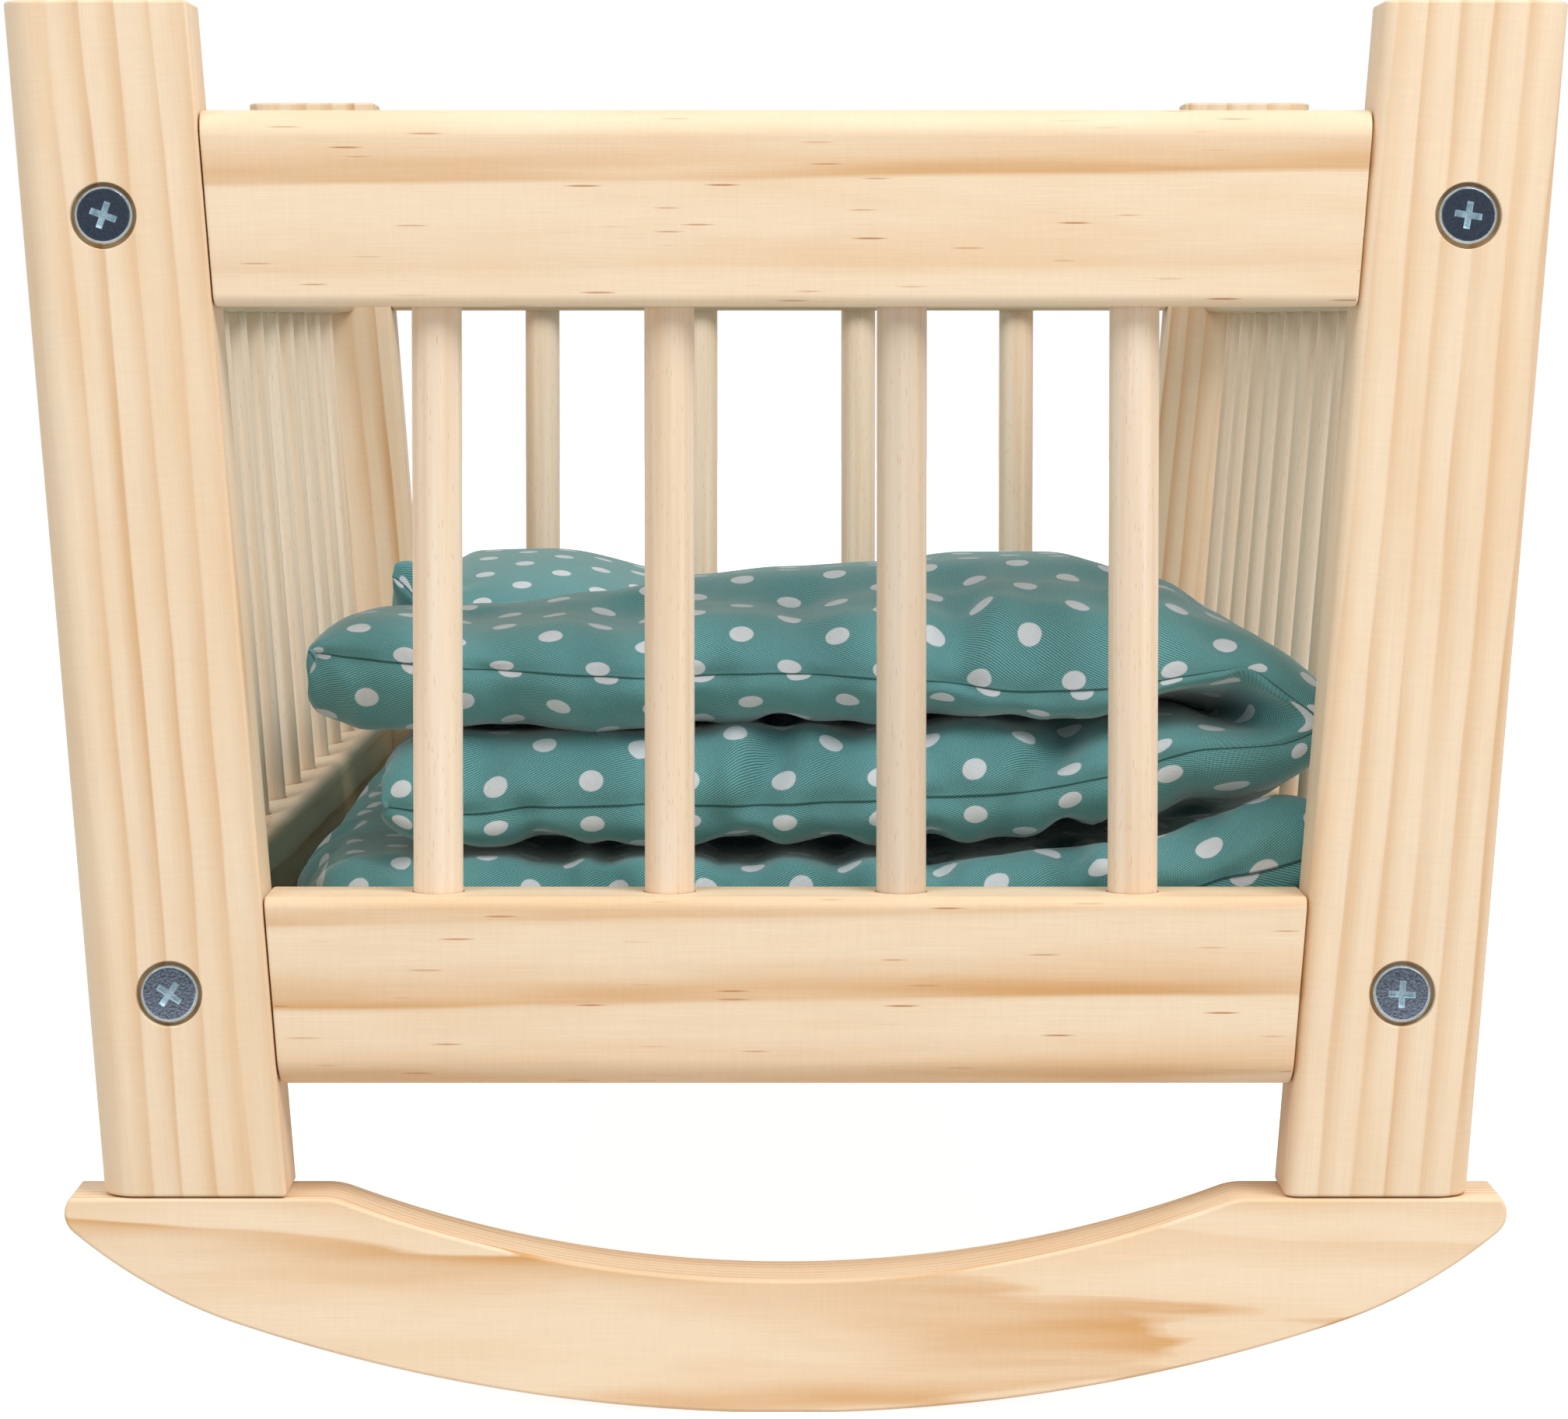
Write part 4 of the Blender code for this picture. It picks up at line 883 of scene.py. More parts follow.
def make_rocker(name):
    """Front rocker: sawn to the outline, eased along both faces, bored from below."""
    right = rocker_lower_edge() + rocker_upper_edge()
    outline = right + [Vector((-point.x, point.y)) for point in right[-2::-1]]
    deselect_all()
    bpy.ops.mesh.primitive_circle_add(vertices=len(outline), radius=TOP_HALF, fill_type="NGON")
    rocker = adopt(name)
    for vertex, point in zip(rocker.data.vertices, outline):
        vertex.co = (point.x, -END_Y - BOARD / 2, point.y)
    edit_whole(rocker, bpy.ops.mesh.extrude_region_move,
               TRANSFORM_OT_translate={"value": (0, BOARD, 0)})
    edit_whole(rocker, bpy.ops.mesh.normals_make_consistent, inside=False)
    bevel_edges(rocker, lambda start, end: abs(start.y - end.y) < GAP, ROCKER_EASE, 3)
    for side in (-1, 1):
        place = (side * post_centre_x(ROCKER_TOP_Z), -END_Y, 0)
        cut_out(rocker, add_rod("bore", place, FOOT_SCREW_HEAD / 2 + GAP, 2 * FOOT_SCREW_DEPTH))
    return rocker


# Screws

def make_screw(name, node, along, turn):
    """Pan head screw at its node: flat face with a rolled rim, cross recess, shank to the rear."""
    x, _, z = middle_of(node)
    face_y = along * (HALF_LENGTH - HEAD_DEPTH)
    back_y = face_y - along * HEAD_HEIGHT
    screw = add_rod(name, (x, (face_y + back_y) / 2, z), HEAD_DIAMETER / 2, HEAD_HEIGHT,
                    (math.pi / 2 * -along, 0, 0), 64)
    bevel_edges(screw, on_plane((0, face_y, 0), (0, 1, 0)), HEAD_ROUND, 5)
    edit(screw)
    bpy.ops.mesh.select_mode(type="FACE")
    select_where(screw, "faces",
                 lambda face: abs(face.calc_center_median().y - back_y) < GAP / 10)
    bpy.ops.mesh.inset(thickness=(HEAD_DIAMETER - SHANK_DIAMETER) / 2)
    bpy.ops.mesh.extrude_region_move(
        TRANSFORM_OT_translate={"value": (0, -along * SHANK_LENGTH, 0)})
    bpy.ops.object.mode_set(mode="OBJECT")
    arms = []
    for quarter in (0, math.pi / 2):
        arm = add_block("arm", (0, 0, 0), (RECESS_SPAN, RECESS_WIDTH, 2 * RECESS_DEPTH))
        edit(arm)
        bpy.ops.mesh.select_mode(type="FACE")
        select_where(arm, "faces", lambda face: face.normal.z < -0.5)
        bpy.ops.transform.resize(value=(RECESS_TAPER_SHARE, RECESS_TAPER_SHARE, 1),
                                 center_override=(0, 0, -RECESS_DEPTH))
        bpy.ops.object.mode_set(mode="OBJECT")
        arm.rotation_euler = (0, 0, quarter + turn)
        arms.append(adopt("arm"))
    cross, arm = arms
    cut_out(cross, arm, "UNION")
    make_active(cross)
    cross.rotation_euler = (-along * math.pi / 2, 0, 0)
    cross.location = (x, face_y, z)
    adopt("cross")
    cut_out(screw, cross)
    return screw


# Bedding

def smoothstep(value):
    """Smooth share from 0 to 1."""
    value = np.clip(value, 0, 1)
    return value * value * (3 - 2 * value)


def table_height(x, y):
    """Height of the duvet's top over a place, in metres."""
    columns, rows = np.array(DUVET_TOP_X) / 1000, np.array(DUVET_TOP_Y) / 1000
    heights = np.array(DUVET_TOP_Z) / 1000
    i = np.clip(np.searchsorted(columns, x) - 1, 0, len(columns) - 2)
    j = np.clip(np.searchsorted(rows, y) - 1, 0, len(rows) - 2)
    u = smoothstep((x - columns[i]) / (columns[i + 1] - columns[i]))
    v = smoothstep((y - rows[j]) / (rows[j + 1] - rows[j]))
    front = heights[j, i] * (1 - u) + heights[j, i + 1] * u
    rear = heights[j + 1, i] * (1 - u) + heights[j + 1, i + 1] * u
    return front * (1 - v) + rear * v


def rounded_edge(distance, radius):
    """Run inwards and fullness at a distance along the cloth from its seam."""
    turn = np.minimum(distance / radius, math.pi / 2)
    inward = radius * (1 - np.cos(turn)) + np.maximum(distance - radius * math.pi / 2, 0)
    return inward, np.sin(turn)


def cloth_length(length, radius):
    """Length of cloth over a cushion of a given length with rounded edges."""
    return length + 2 * radius * (math.pi / 2 - 1)


def flat_cushion(low, high, radius):
    """Sizes of a flat cushion's cloth, and where its places lie and how full they are."""
    flat = [cloth_length(high[axis] - low[axis], radius) for axis in (0, 1)]

    def lie(a, b):
        in_a, full_a = rounded_edge(np.minimum(a, flat[0] - a), radius)
        in_b, full_b = rounded_edge(np.minimum(b, flat[1] - b), radius)
        x = np.where(a < flat[0] / 2, low.x + in_a, high.x - in_a)
        y = np.where(b < flat[1] / 2, low.y + in_b, high.y - in_b)
        return x, y, in_a, in_b, full_a * full_b
    return flat, lie


def sewn_cushion(name, flat, place, lay):
    """Closed form of two cloths sewn along their edges; place(a, b, skin) gives the points.

    Its UV map holds metres on the cloth, from lay(a, b, skin, points), and its seam attribute
    the distance from the seam.
    """
    rows, columns = (round(side / CLOTH_CELL) for side in flat)
    a, b = np.meshgrid(np.linspace(0, flat[0], rows + 1), np.linspace(0, flat[1], columns + 1),
                       indexing="ij")
    inside = np.zeros(a.shape, bool)
    inside[1:-1, 1:-1] = True
    upper = np.arange(a.size).reshape(a.shape)
    lower = upper.copy()
    lower[inside] = a.size + np.arange(inside.sum())
    skins = {skin: place(a, b, skin) for skin in (1, -1)}
    points = np.concatenate([skins[1].reshape(-1, 3), skins[-1][inside]])
    quads, prints = [], []
    for numbers, skin, order in ((upper, 1, (0, 1, 2, 3)), (lower, -1, (3, 2, 1, 0))):
        cloth = np.stack(lay(a, b, skin, skins[skin]), -1)
        around = [(slice(None, -1), slice(None, -1)), (slice(1, None), slice(None, -1)),
                  (slice(1, None), slice(1, None)), (slice(None, -1), slice(1, None))]
        quads.append(np.stack([numbers[around[k]].ravel() for k in order], 1))
        prints.append(np.stack([cloth[around[k]].reshape(-1, 2) for k in order], 1))
    mesh = bpy.data.meshes.new(name)
    mesh.from_pydata(points.tolist(), [], np.concatenate(quads).tolist())
    layer = mesh.uv_layers.new(name="cloth")
    layer.data.foreach_set("uv", np.concatenate(prints).astype(np.float32).ravel())
    near = np.minimum(np.minimum(a, flat[0] - a), np.minimum(b, flat[1] - b))
    store(mesh, "seam", np.concatenate([near.ravel(), near[inside]]))
    piece = bpy.data.objects.new(name, mesh)
    bpy.context.scene.collection.objects.link(piece)
    return piece


def lay_flat(a, b, skin, points):
    """Print of a flat cushion, a little displaced from one cloth to the other."""
    return a + (DOT_ROW / 3 if skin < 0 else 0), b


def move_points(mesh, places):
    """Put a mesh's points in new places."""
    mesh.vertices.foreach_set("co", places.ravel())
    mesh.update()


def stuff(piece, clear):
    """Swell a sewn cushion by cloth simulation, its seam held, and keep it clear of neighbours."""
    scene = bpy.context.scene
    start = values_of(piece.data.vertices, "co", 3)
    near = values_of(piece.data.attributes["seam"].data, "value")
    held = piece.vertex_groups.new(name="seam_stitches")
    held.add(np.nonzero(near < CLOTH_CELL / 10)[0].tolist(), 1.0, "ADD")
    modifier = piece.modifiers.new("Cloth", "CLOTH")
    cloth = modifier.settings
    cloth.vertex_group_mass = held.name
    cloth.quality = 5
    cloth.mass = 0.3
    cloth.tension_stiffness = cloth.compression_stiffness = 15.0
    cloth.shear_stiffness = 5.0
    cloth.bending_stiffness = 0.3
    cloth.use_pressure = True
    cloth.uniform_pressure_force = CLOTH_PRESSURE
    cloth.shrink_min = -CLOTH_SPARE_SHARE
    cloth.effector_weights.gravity = 0
    modifier.collision_settings.use_collision = False
    modifier.point_cache.frame_start = 1
    modifier.point_cache.frame_end = CLOTH_FRAMES
    for number in range(1, CLOTH_FRAMES + 1):
        scene.frame_set(number)
    swollen = piece.evaluated_get(bpy.context.evaluated_depsgraph_get())
    end = values_of(swollen.to_mesh().vertices, "co", 3)
    swollen.to_mesh_clear()
    piece.modifiers.remove(modifier)
    piece.vertex_groups.remove(held)
    scene.frame_set(1)
    move = end - start
    far = np.linalg.norm(move, axis=1, keepdims=True)
    move *= CLOTH_CAP * np.tanh(far / CLOTH_CAP) / np.maximum(far, CLOTH_CLEAR / 100)
    move_points(piece.data, clear(start + move))


def wrinkle(piece):
    """Press the photographed folds into the front, gather the left side and pucker the seams."""
    points = values_of(piece.data.vertices, "co", 3)
    outward = values_of(piece.data.vertex_normals, "vector", 3)
    near = values_of(piece.data.attributes["seam"].data, "value")
    x, y, z = points.T
    facing = smoothstep(-outward[:, 1] / 0.4 + 0.6)
    facing = facing * smoothstep((FOLD_FRONT_Y - y) / CLOTH_CAP + 1)
    inward = np.zeros(len(points))
    for x0, z0, x1, z1, width, depth in FRONT_FOLDS:
        start, run = np.array((x0, z0)) / 1000, np.array((x1 - x0, z1 - z0)) / 1000
        share = ((x - start[0]) * run[0] + (z - start[1]) * run[1]) / (run @ run)
        held = np.clip(share, 0, 1)
        away = np.hypot(x - start[0] - held * run[0], z - start[1] - held * run[1])
        inward += FOLD_DEPTH_SCALE * depth * facing * np.exp(-(away * 1000 / width) ** 2)
    left = smoothstep(-outward[:, 0] / 0.5)
    left = left * smoothstep((y - INNER_Y + GATHER_BAND) / -GATHER_BAND)
    phase = 2 * math.pi * (y + GATHER_SLANT * z) / GATHER_PITCH
    wave = np.sin(phase + 1.3 * np.sin(y / GATHER_PITCH))
    inward += GATHER_DEPTH * wave * left * (z < MATTRESS_LOW.z + MATTRESS_THICKNESS)
    phase = 2 * math.pi * (x + y + 0.3 * z) / PUCKER_PITCH
    stitch = np.sin(phase) + 0.7 * np.sin(phase * 0.618)
    share = near / PUCKER_WIDTH * 2
    inward += PUCKER_DEPTH * stitch * share * np.exp(1 - share)
    inward += SEAM_VALLEY * np.exp(-(near / SEAM_VALLEY_WIDTH) ** 2)
    move_points(piece.data, points - outward * inward[:, None])


def finish_cushion(context, piece, node):
    """Wrinkle, subdivide and shade a cushion, give it its cotton and hide its node; it rides on the
    body of its own name.
    """
    wrinkle(piece)
    apply_modifier(piece, "SUBSURF", levels=1, render_levels=1)
    piece.data.shade_smooth()
    cotton = shared("spotted_cotton_twill", printed_cotton, context.scene.cradle_cotton)
    settle(piece, cotton, node, node)


def mattress_curl(x, y):
    """How far the mattress is curled up over a place."""
    across = np.clip((x - MATTRESS_HIGH.x) / MATTRESS_CURL_WIDTH + 1, 0, 1) ** MATTRESS_CURL_POWER
    along = smoothstep(1 - (y - MATTRESS_LOW.y) / MATTRESS_CURL_LENGTH)
    return MATTRESS_CURL * across * along


def make_mattress():
    """Flat pad, its left front corner tucked in and its right one curled up."""
    half = MATTRESS_THICKNESS / 2
    flat, lie = flat_cushion(MATTRESS_LOW, MATTRESS_HIGH, MATTRESS_ROUND)

    def place(a, b, skin):
        x, y, _, _, full = lie(a, b)
        tuck = 1 - smoothstep((MATTRESS_HIGH.y - np.abs(y)) / MATTRESS_TUCK_LENGTH)
        tuck = MATTRESS_CORNER_TUCK * tuck * ((x < 0) | (y > 0))
        x = x - np.sign(x) * tuck * smoothstep(np.abs(x) / MATTRESS_HIGH.x)
        curl = mattress_curl(x, y)
        z = MATTRESS_LOW.z + half + skin * half * full + curl
        return np.stack([x + MATTRESS_CORNER_SPREAD * curl / MATTRESS_CURL, y, z], -1)

    mattress = sewn_cushion("mattress_cloth", flat, place, lay_flat)

    def clear(points):
        curl = mattress_curl(points[:, 0], points[:, 1])
        top_z = MATTRESS_LOW.z + MATTRESS_THICKNESS + curl
        points[:, 2] = np.clip(points[:, 2], MATTRESS_LOW.z, top_z)
        side = MATTRESS_HIGH.x + CLOTH_CAP / 2
        points[:, 0] = np.clip(points[:, 0], -side, side + MATTRESS_CORNER_SPREAD)
        points[:, 1] = np.clip(points[:, 1], MATTRESS_LOW.y - GAP, MATTRESS_HIGH.y + GAP)
        return points
    stuff(mattress, clear)
    return mattress


def duvet_floor(x, y):
    """Height that the duvet rests on over a place."""
    return MATTRESS_LOW.z + MATTRESS_THICKNESS + mattress_curl(x, y) + CLOTH_CLEAR


def fold_seam(share):
    """X and z of the front seam round the fold, over a share of the turn."""
    lower, upper = (np.array(seam) / 1000 for seam in (LOWER_SEAM, UPPER_SEAM))
    line = np.concatenate([lower[lower[:, 0] > DUVET_FOLD_X], [np.array(FOLD_SEAM) / 1000],
                           upper[upper[:, 0] > DUVET_FOLD_X]])
    run = np.concatenate([[0], np.cumsum(np.hypot(*np.diff(line, axis=0).T))])
    return [np.interp(share * run[-1], run, line[:, axis]) for axis in (0, 1)]


def duvet_seam(x, turned):
    """X and z of the front seam: below, round the fold and back above."""
    lower, upper = (np.array(seam) / 1000 for seam in (LOWER_SEAM, UPPER_SEAM[::-1]))
    fold_x, fold_z = fold_seam(turned / math.pi)
    below = np.interp(x, lower[:, 0], lower[:, 1])
    above = np.interp(x, upper[:, 0], upper[:, 1])
    seam_x = np.where((turned > 0) & (turned < math.pi), fold_x, x)
    return seam_x, np.where(turned <= 0, below, np.where(turned >= math.pi, above, fold_z))


def make_duvet():
    """Duvet in two layers, folded on the right, its front seam on the measured line."""
    width = DUVET_HIGH.y - DUVET_LOW.y
    length = cloth_length(width, DUVET_ROUND)
    turn_run = math.pi / 2 * DUVET_FOLD_REACH
    margin = DUVET_ROUND * (math.pi / 2 - 1)
    lower_run = DUVET_FOLD_X - DUVET_LOWER_END + margin
    total = lower_run + turn_run + DUVET_FOLD_X - DUVET_UPPER_END + margin

    def place(a, b, skin):
        from_front = np.minimum(b, length - b)
        front = b < length / 2
        in_b, full_b = rounded_edge(from_front, DUVET_ROUND)
        from_end = np.minimum(a, total - a)
        in_a, full_a = rounded_edge(from_end, DUVET_ROUND)
        in_a = in_a + DUVET_END_NOTCH * (1 - smoothstep(from_end / DUVET_NOTCH_WIDTH))
        y = np.where(front, DUVET_LOW.y + in_b, DUVET_HIGH.y - in_b)
        turned = np.clip((a - lower_run) / turn_run, 0, 1) * math.pi
        x = np.where(turned <= 0, DUVET_LOWER_END + in_a, DUVET_UPPER_END + in_a)
        x = np.where((turned > 0) & (turned < math.pi), DUVET_FOLD_X, x)
        floor_z = duvet_floor(x, y) + DUVET_CLEAR
        top_z = table_height(np.clip(x, DUVET_UPPER_END, DUVET_FOLD_X), y)
        crease = np.interp(x * 1000, *np.transpose(DUVET_CREASE)) / 1000
        creased = (1 - smoothstep(from_front / CREASE_LENGTH)) * front
        crease_z = crease * creased + (top_z + floor_z) / 2 * (1 - creased)
        sine, cosine = np.sin(turned), np.cos(turned)
        power = np.where(turned > math.pi / 2, DUVET_FOLD_POWER, 2.0)
        squash = (np.abs(sine) ** power + np.abs(cosine) ** power) ** (-1 / power)
        slack = smoothstep(1 - np.abs(a - lower_run - turn_run / 2) / FOLD_SLACK_WIDTH)
        slack = slack * smoothstep(1 - from_front / FOLD_SLACK_LENGTH) * front
        opened = CREASE_OPEN_SHARE * smoothstep(1 - from_front / CREASE_OPEN_LENGTH) * front
        thinned = (FOLD_SLACK_SHARE * slack + opened * (1 - slack)) * (skin > 0)
        thick = full_a * full_b * (1 - thinned)
        pull = (1 - smoothstep(from_front / DUVET_PULL)) * front
        slant = DUVET_FOLD_SLANT * (y - DUVET_FOLD_Y) * smoothstep(x / DUVET_FOLD_X) * (1 - pull)
        half_x = DUVET_FOLD_REACH / 2 * squash * sine
        half_z = np.where(cosine > 0, crease_z - floor_z, top_z - crease_z) / 2 * squash * cosine
        middle_x, middle_z = x + half_x, crease_z - half_z
        seam_x, seam_z = duvet_seam(x, turned)
        middle_x = middle_x * (1 - pull) + seam_x * pull
        middle_z = middle_z * (1 - pull) + seam_z * pull
        return np.stack([middle_x + slant - skin * thick * half_x, y,
                         middle_z + skin * thick * half_z], -1)

    def lay(a, b, skin, points):
        steps = np.linalg.norm(np.diff(points[:, 3:PRINT_COLUMNS], axis=0), axis=2).mean(1)
        run = np.concatenate([[0], np.cumsum(steps)])
        (upper_x, upper_gap), (lower_x, lower_gap) = FRONT_DOTS[skin]
        turn = smoothstep((a - lower_run + PRINT_TURN) / (turn_run + 2 * PRINT_TURN))
        places = (lower_x / 1000 - DUVET_LOWER_END + margin,
                  total - (upper_x / 1000 - DUVET_UPPER_END + margin))
        below, above = np.interp(places, a[:, 0], run)
        whole = round((above - below) / DOT_ROW / 2) * DOT_ROW * 2
        along = run[:, None] - above + (1 - turn) * (above - below - whole)
        return along, b + DOT_ROW - (lower_gap + (upper_gap - lower_gap) * turn) / 1000

    duvet = sewn_cushion("duvet_cloth", (total, length), place, lay)

    def clear(points):
        points[:, 2] = np.maximum(points[:, 2], duvet_floor(points[:, 0], points[:, 1]))
        points[:, 0] = np.minimum(points[:, 0], side_spindle_inner_x(points[:, 2]) - CLOTH_CAP / 2)
        points[:, 1] = np.maximum(points[:, 1], DUVET_LOW.y - CLOTH_CAP / 2)
        return points
    stuff(duvet, clear)
    return duvet


def make_pillow():
    """Knife edge pillow behind the duvet, its left front corner standing up."""
    flat, lie = flat_cushion(PILLOW_LOW, PILLOW_HIGH, PILLOW_ROUND)

    def place(a, b, skin):
        x, y, in_a, in_b, full = lie(a, b)
        ends = np.where(y < middle_of("pillow").y, PILLOW_CROWN_FRONT, PILLOW_CROWN_REAR)
        crown = np.sin(np.minimum(in_b / ends, 1) * math.pi / 2)
        crown = crown * np.sin(np.minimum(in_a / PILLOW_CROWN_SIDE, 1) * math.pi / 2)
        full = full * (1 - PILLOW_CROWN_SHARE + PILLOW_CROWN_SHARE * crown)
        corner = smoothstep(1 - (x - PILLOW_LOW.x) / PILLOW_CORNER_WIDTH)
        corner = corner * smoothstep(1 - (y - PILLOW_LOW.y) / PILLOW_CORNER_WIDTH)
        sunk = PILLOW_SINK * smoothstep((x - PILLOW_SINK_FROM) / PILLOW_SINK_WIDTH)
        rise = np.where(skin > 0, PILLOW_RISE - sunk, PILLOW_DROP)
        z = PILLOW_SEAM_Z + skin * rise * full + PILLOW_CORNER_LIFT * corner
        return np.stack([x, y, np.minimum(z, PILLOW_TOP_Z)], -1)

    pillow = sewn_cushion("pillow_cloth", flat, place, lay_flat)

    def clear(points):
        points[:, 2] = np.maximum(points[:, 2], MATTRESS_LOW.z + MATTRESS_THICKNESS + CLOTH_CLEAR)
        points[:, 1] = np.clip(points[:, 1], DUVET_HIGH.y + CLOTH_CAP, INNER_Y - CLOTH_CLEAR)
        return points
    stuff(pillow, clear)
    return pillow


# What a user may change

def colour_of(name, description, text):
    """A colour that the user may change."""
    return FloatVectorProperty(name=name, description=description, default=linear(text), size=4,
                               subtype="COLOR")


def turn_of(name, degrees, description="Turn of the cross recess"):
    """An angle that the user may change."""
    return FloatProperty(name=name, description=description, default=math.radians(degrees),
                         subtype="ANGLE")


class CradleWood(bpy.types.PropertyGroup):
    """Colours and growth of the boards, dowels and panel."""
    pine_pale: colour_of("Pine", "Pale wood between the growth lines", "#f6dfc0")
    pine_tan: colour_of("Pine lines", "Growth lines of the boards", "#d8a469")
    pine_warm: colour_of("Pine clouds", "Warmer patches of the boards", "#edc495")
    dash: colour_of("Resin dashes", "Short brown dashes in the boards", "#b97a45")
    dowel_pale: colour_of("Dowels", "Pale wood of the spindles", "#f9e6ce")
    dowel_tan: colour_of("Dowel bands", "Darker bands of the spindles", "#e9c9a4")
    ply_pale: colour_of("Plywood", "Pale figure of the base panel", "#ecd3ae")
    ply_tan: colour_of("Plywood figure", "Darker figure of the base panel", "#d8b487")
    ring_pitch: FloatProperty(name="Growth ring", description="Width of one growth ring",
                              default=0.0052, min=0.001, max=0.02, unit="LENGTH")


class CradleScrews(bpy.types.PropertyGroup):
    """Finish of the screws and how far each was driven round."""
    zinc: colour_of("Zinc plate", "Colour of the plated screws", "#8f98a6")
    # The recess colour is a painted highlight, the glint of the recess walls
    recess: colour_of("Recess", "Paler zinc inside the cross recess", "#dff4fc")
    turn_upper_left: turn_of("Upper left", -19)
    turn_upper_right: turn_of("Upper right", -9)
    turn_lower_left: turn_of("Lower left", -35)
    turn_lower_right: turn_of("Lower right", -3)


class CradleCotton(bpy.types.PropertyGroup):
    """Colours and weave of the bedding."""
    # The lit and shaded colours below paint the light on the ribs and the shade between them, in
    # the cloth and in the spots
    yarn: colour_of("Yarn", "Lit ribs of the twill", "#88c5c6")
    gap: colour_of("Between yarns", "Shaded gaps between the ribs", "#3a7275")
    spot: colour_of("Spots", "Printed spots", "#edf1f7")
    spot_gap_shade: colour_of("Spots between yarns", "Ribs seen in the spots", "#cbd4da")
    # Painted shade in the crease along the seam
    seam: colour_of("Seam", "Shadowed stitching line", "#1c3f3d")
    twill_angle: turn_of("Twill", 58, "Slant of the ribs on the cloth")


class CradleStage(bpy.types.PropertyGroup):
    """How strongly each lamp and the room shine."""
    right: FloatProperty(name="Right lamp", description="Large soft lamp above on the right",
                         default=22.0, min=0.0, unit="POWER")
    left: FloatProperty(name="Left lamp", description="Large soft lamp above on the left",
                        default=10.5, min=0.0, unit="POWER")
    sky: FloatProperty(name="Room", description="Even light from all round", default=0.41, min=0.0)


# Which part of its log each board was sawn from: metres from the pith across and into the
# board, and along the log; then how much darker or lighter it is than the others, how strong
# its figure is, and how many times as broad as usual its rings are

LOGS = {
    "post_front_left": (0.046, 0.016, 0.20, 0.0, 0.68, 1.3),
    "post_front_right": (-0.052, 0.012, 0.90, 0.0, 0.62, 1.3),
    # The rear posts and end rails, and the side rails, are set a little darker than the front ones:
    # painted shade for the light falling off towards the rear
    "post_rear_left": (0.038, -0.030, 1.40, -0.02, 0.8, 1.0),
    "post_rear_right": (-0.035, 0.030, 2.10, -0.03, 0.8, 1.0),
    "end_rail_upper_front": (-0.0616, 0.012, 0.50, 0.0, 0.75, 3.2),
    "end_rail_lower_front": (-0.050, 0.030, 1.80, 0.0, 0.8, 2.4),
    "end_rail_upper_rear": (0.050, 0.020, 2.50, -0.02, 0.8, 1.4),
    "end_rail_lower_rear": (0.040, 0.035, 3.20, -0.01, 0.7, 1.6),
    "side_rail_upper_right": (0.020, 0.045, 0.30, -0.01, 0.8, 1.2),
    "side_rail_upper_left": (-0.025, 0.040, 1.10, -0.01, 0.8, 1.2),
    "side_rail_lower_right": (0.045, 0.020, 2.20, -0.01, 0.8, 1.2),
    "side_rail_lower_left": (0.050, 0.015, 2.90, -0.01, 0.8, 1.2),
    "rocker_front": (0.006, 0.068, 1.62, 0.045, 0.85, 0.5),
    "rocker_rear": (0.005, 0.070, 0.70, 0.0, 0.85, 0.62),
}


def finish_boards(context, along, across, *boards):
    """Give boards, named for their nodes and "_wood", their places in their logs and their pine."""
    pine = shared("planed_radiata_pine", softwood, context.scene.cradle_wood)
    for board in boards:
        node = board.name.removesuffix("_wood")
        set_grain(board, middle_of(node), along, across, LOGS[node][:3], *LOGS[node][3:])
        smooth(board)
        settle(board, pine, node)


class CRADLE_OT_posts(bpy.types.Operator):
    """Model the right posts, mirror them and give each its own grain"""
    bl_idname = "cradle.posts"
    bl_label = "Posts"

    def execute(self, context):
        for side, across, inner_round in (("right", 1, 0.0028), ("left", -1, 0.0008)):
            source = make_post("post_source", inner_round)
            front = copy_mirrored(source, f"post_front_{side}_wood", across, 1)
            rear = copy_mirrored(front, f"post_rear_{side}_wood", 1, -1)
            bpy.data.objects.remove(source)
            finish_boards(context, up_the_lean(across * LEAN), (1, 0, 0), front, rear)
        return {"FINISHED"}


class CRADLE_OT_end_rails(bpy.types.Operator):
    """Model the front rails and mirror them to the rear"""
    bl_idname = "cradle.end_rails"
    bl_label = "End rails"

    def execute(self, context):
        for level in ("upper", "lower"):
            front = make_end_rail(f"end_rail_{level}_front", level == "upper")
            rear = copy_mirrored(front, f"end_rail_{level}_rear_wood", 1, -1)
            finish_boards(context, (1, 0, 0), (0, 0, 1), front, rear)
        return {"FINISHED"}


class CRADLE_OT_side_rails(bpy.types.Operator):
    """Model the right side's rails and mirror them to the left"""
    bl_idname = "cradle.side_rails"
    bl_label = "Side rails"

    def execute(self, context):
        for level in ("upper", "lower"):
            right = make_side_rail(f"side_rail_{level}_right", level == "upper")
            left = copy_mirrored(right, f"side_rail_{level}_left_wood", -1, 1)
            finish_boards(context, (0, 1, 0), (0, 0, 1), right, left)
        return {"FINISHED"}


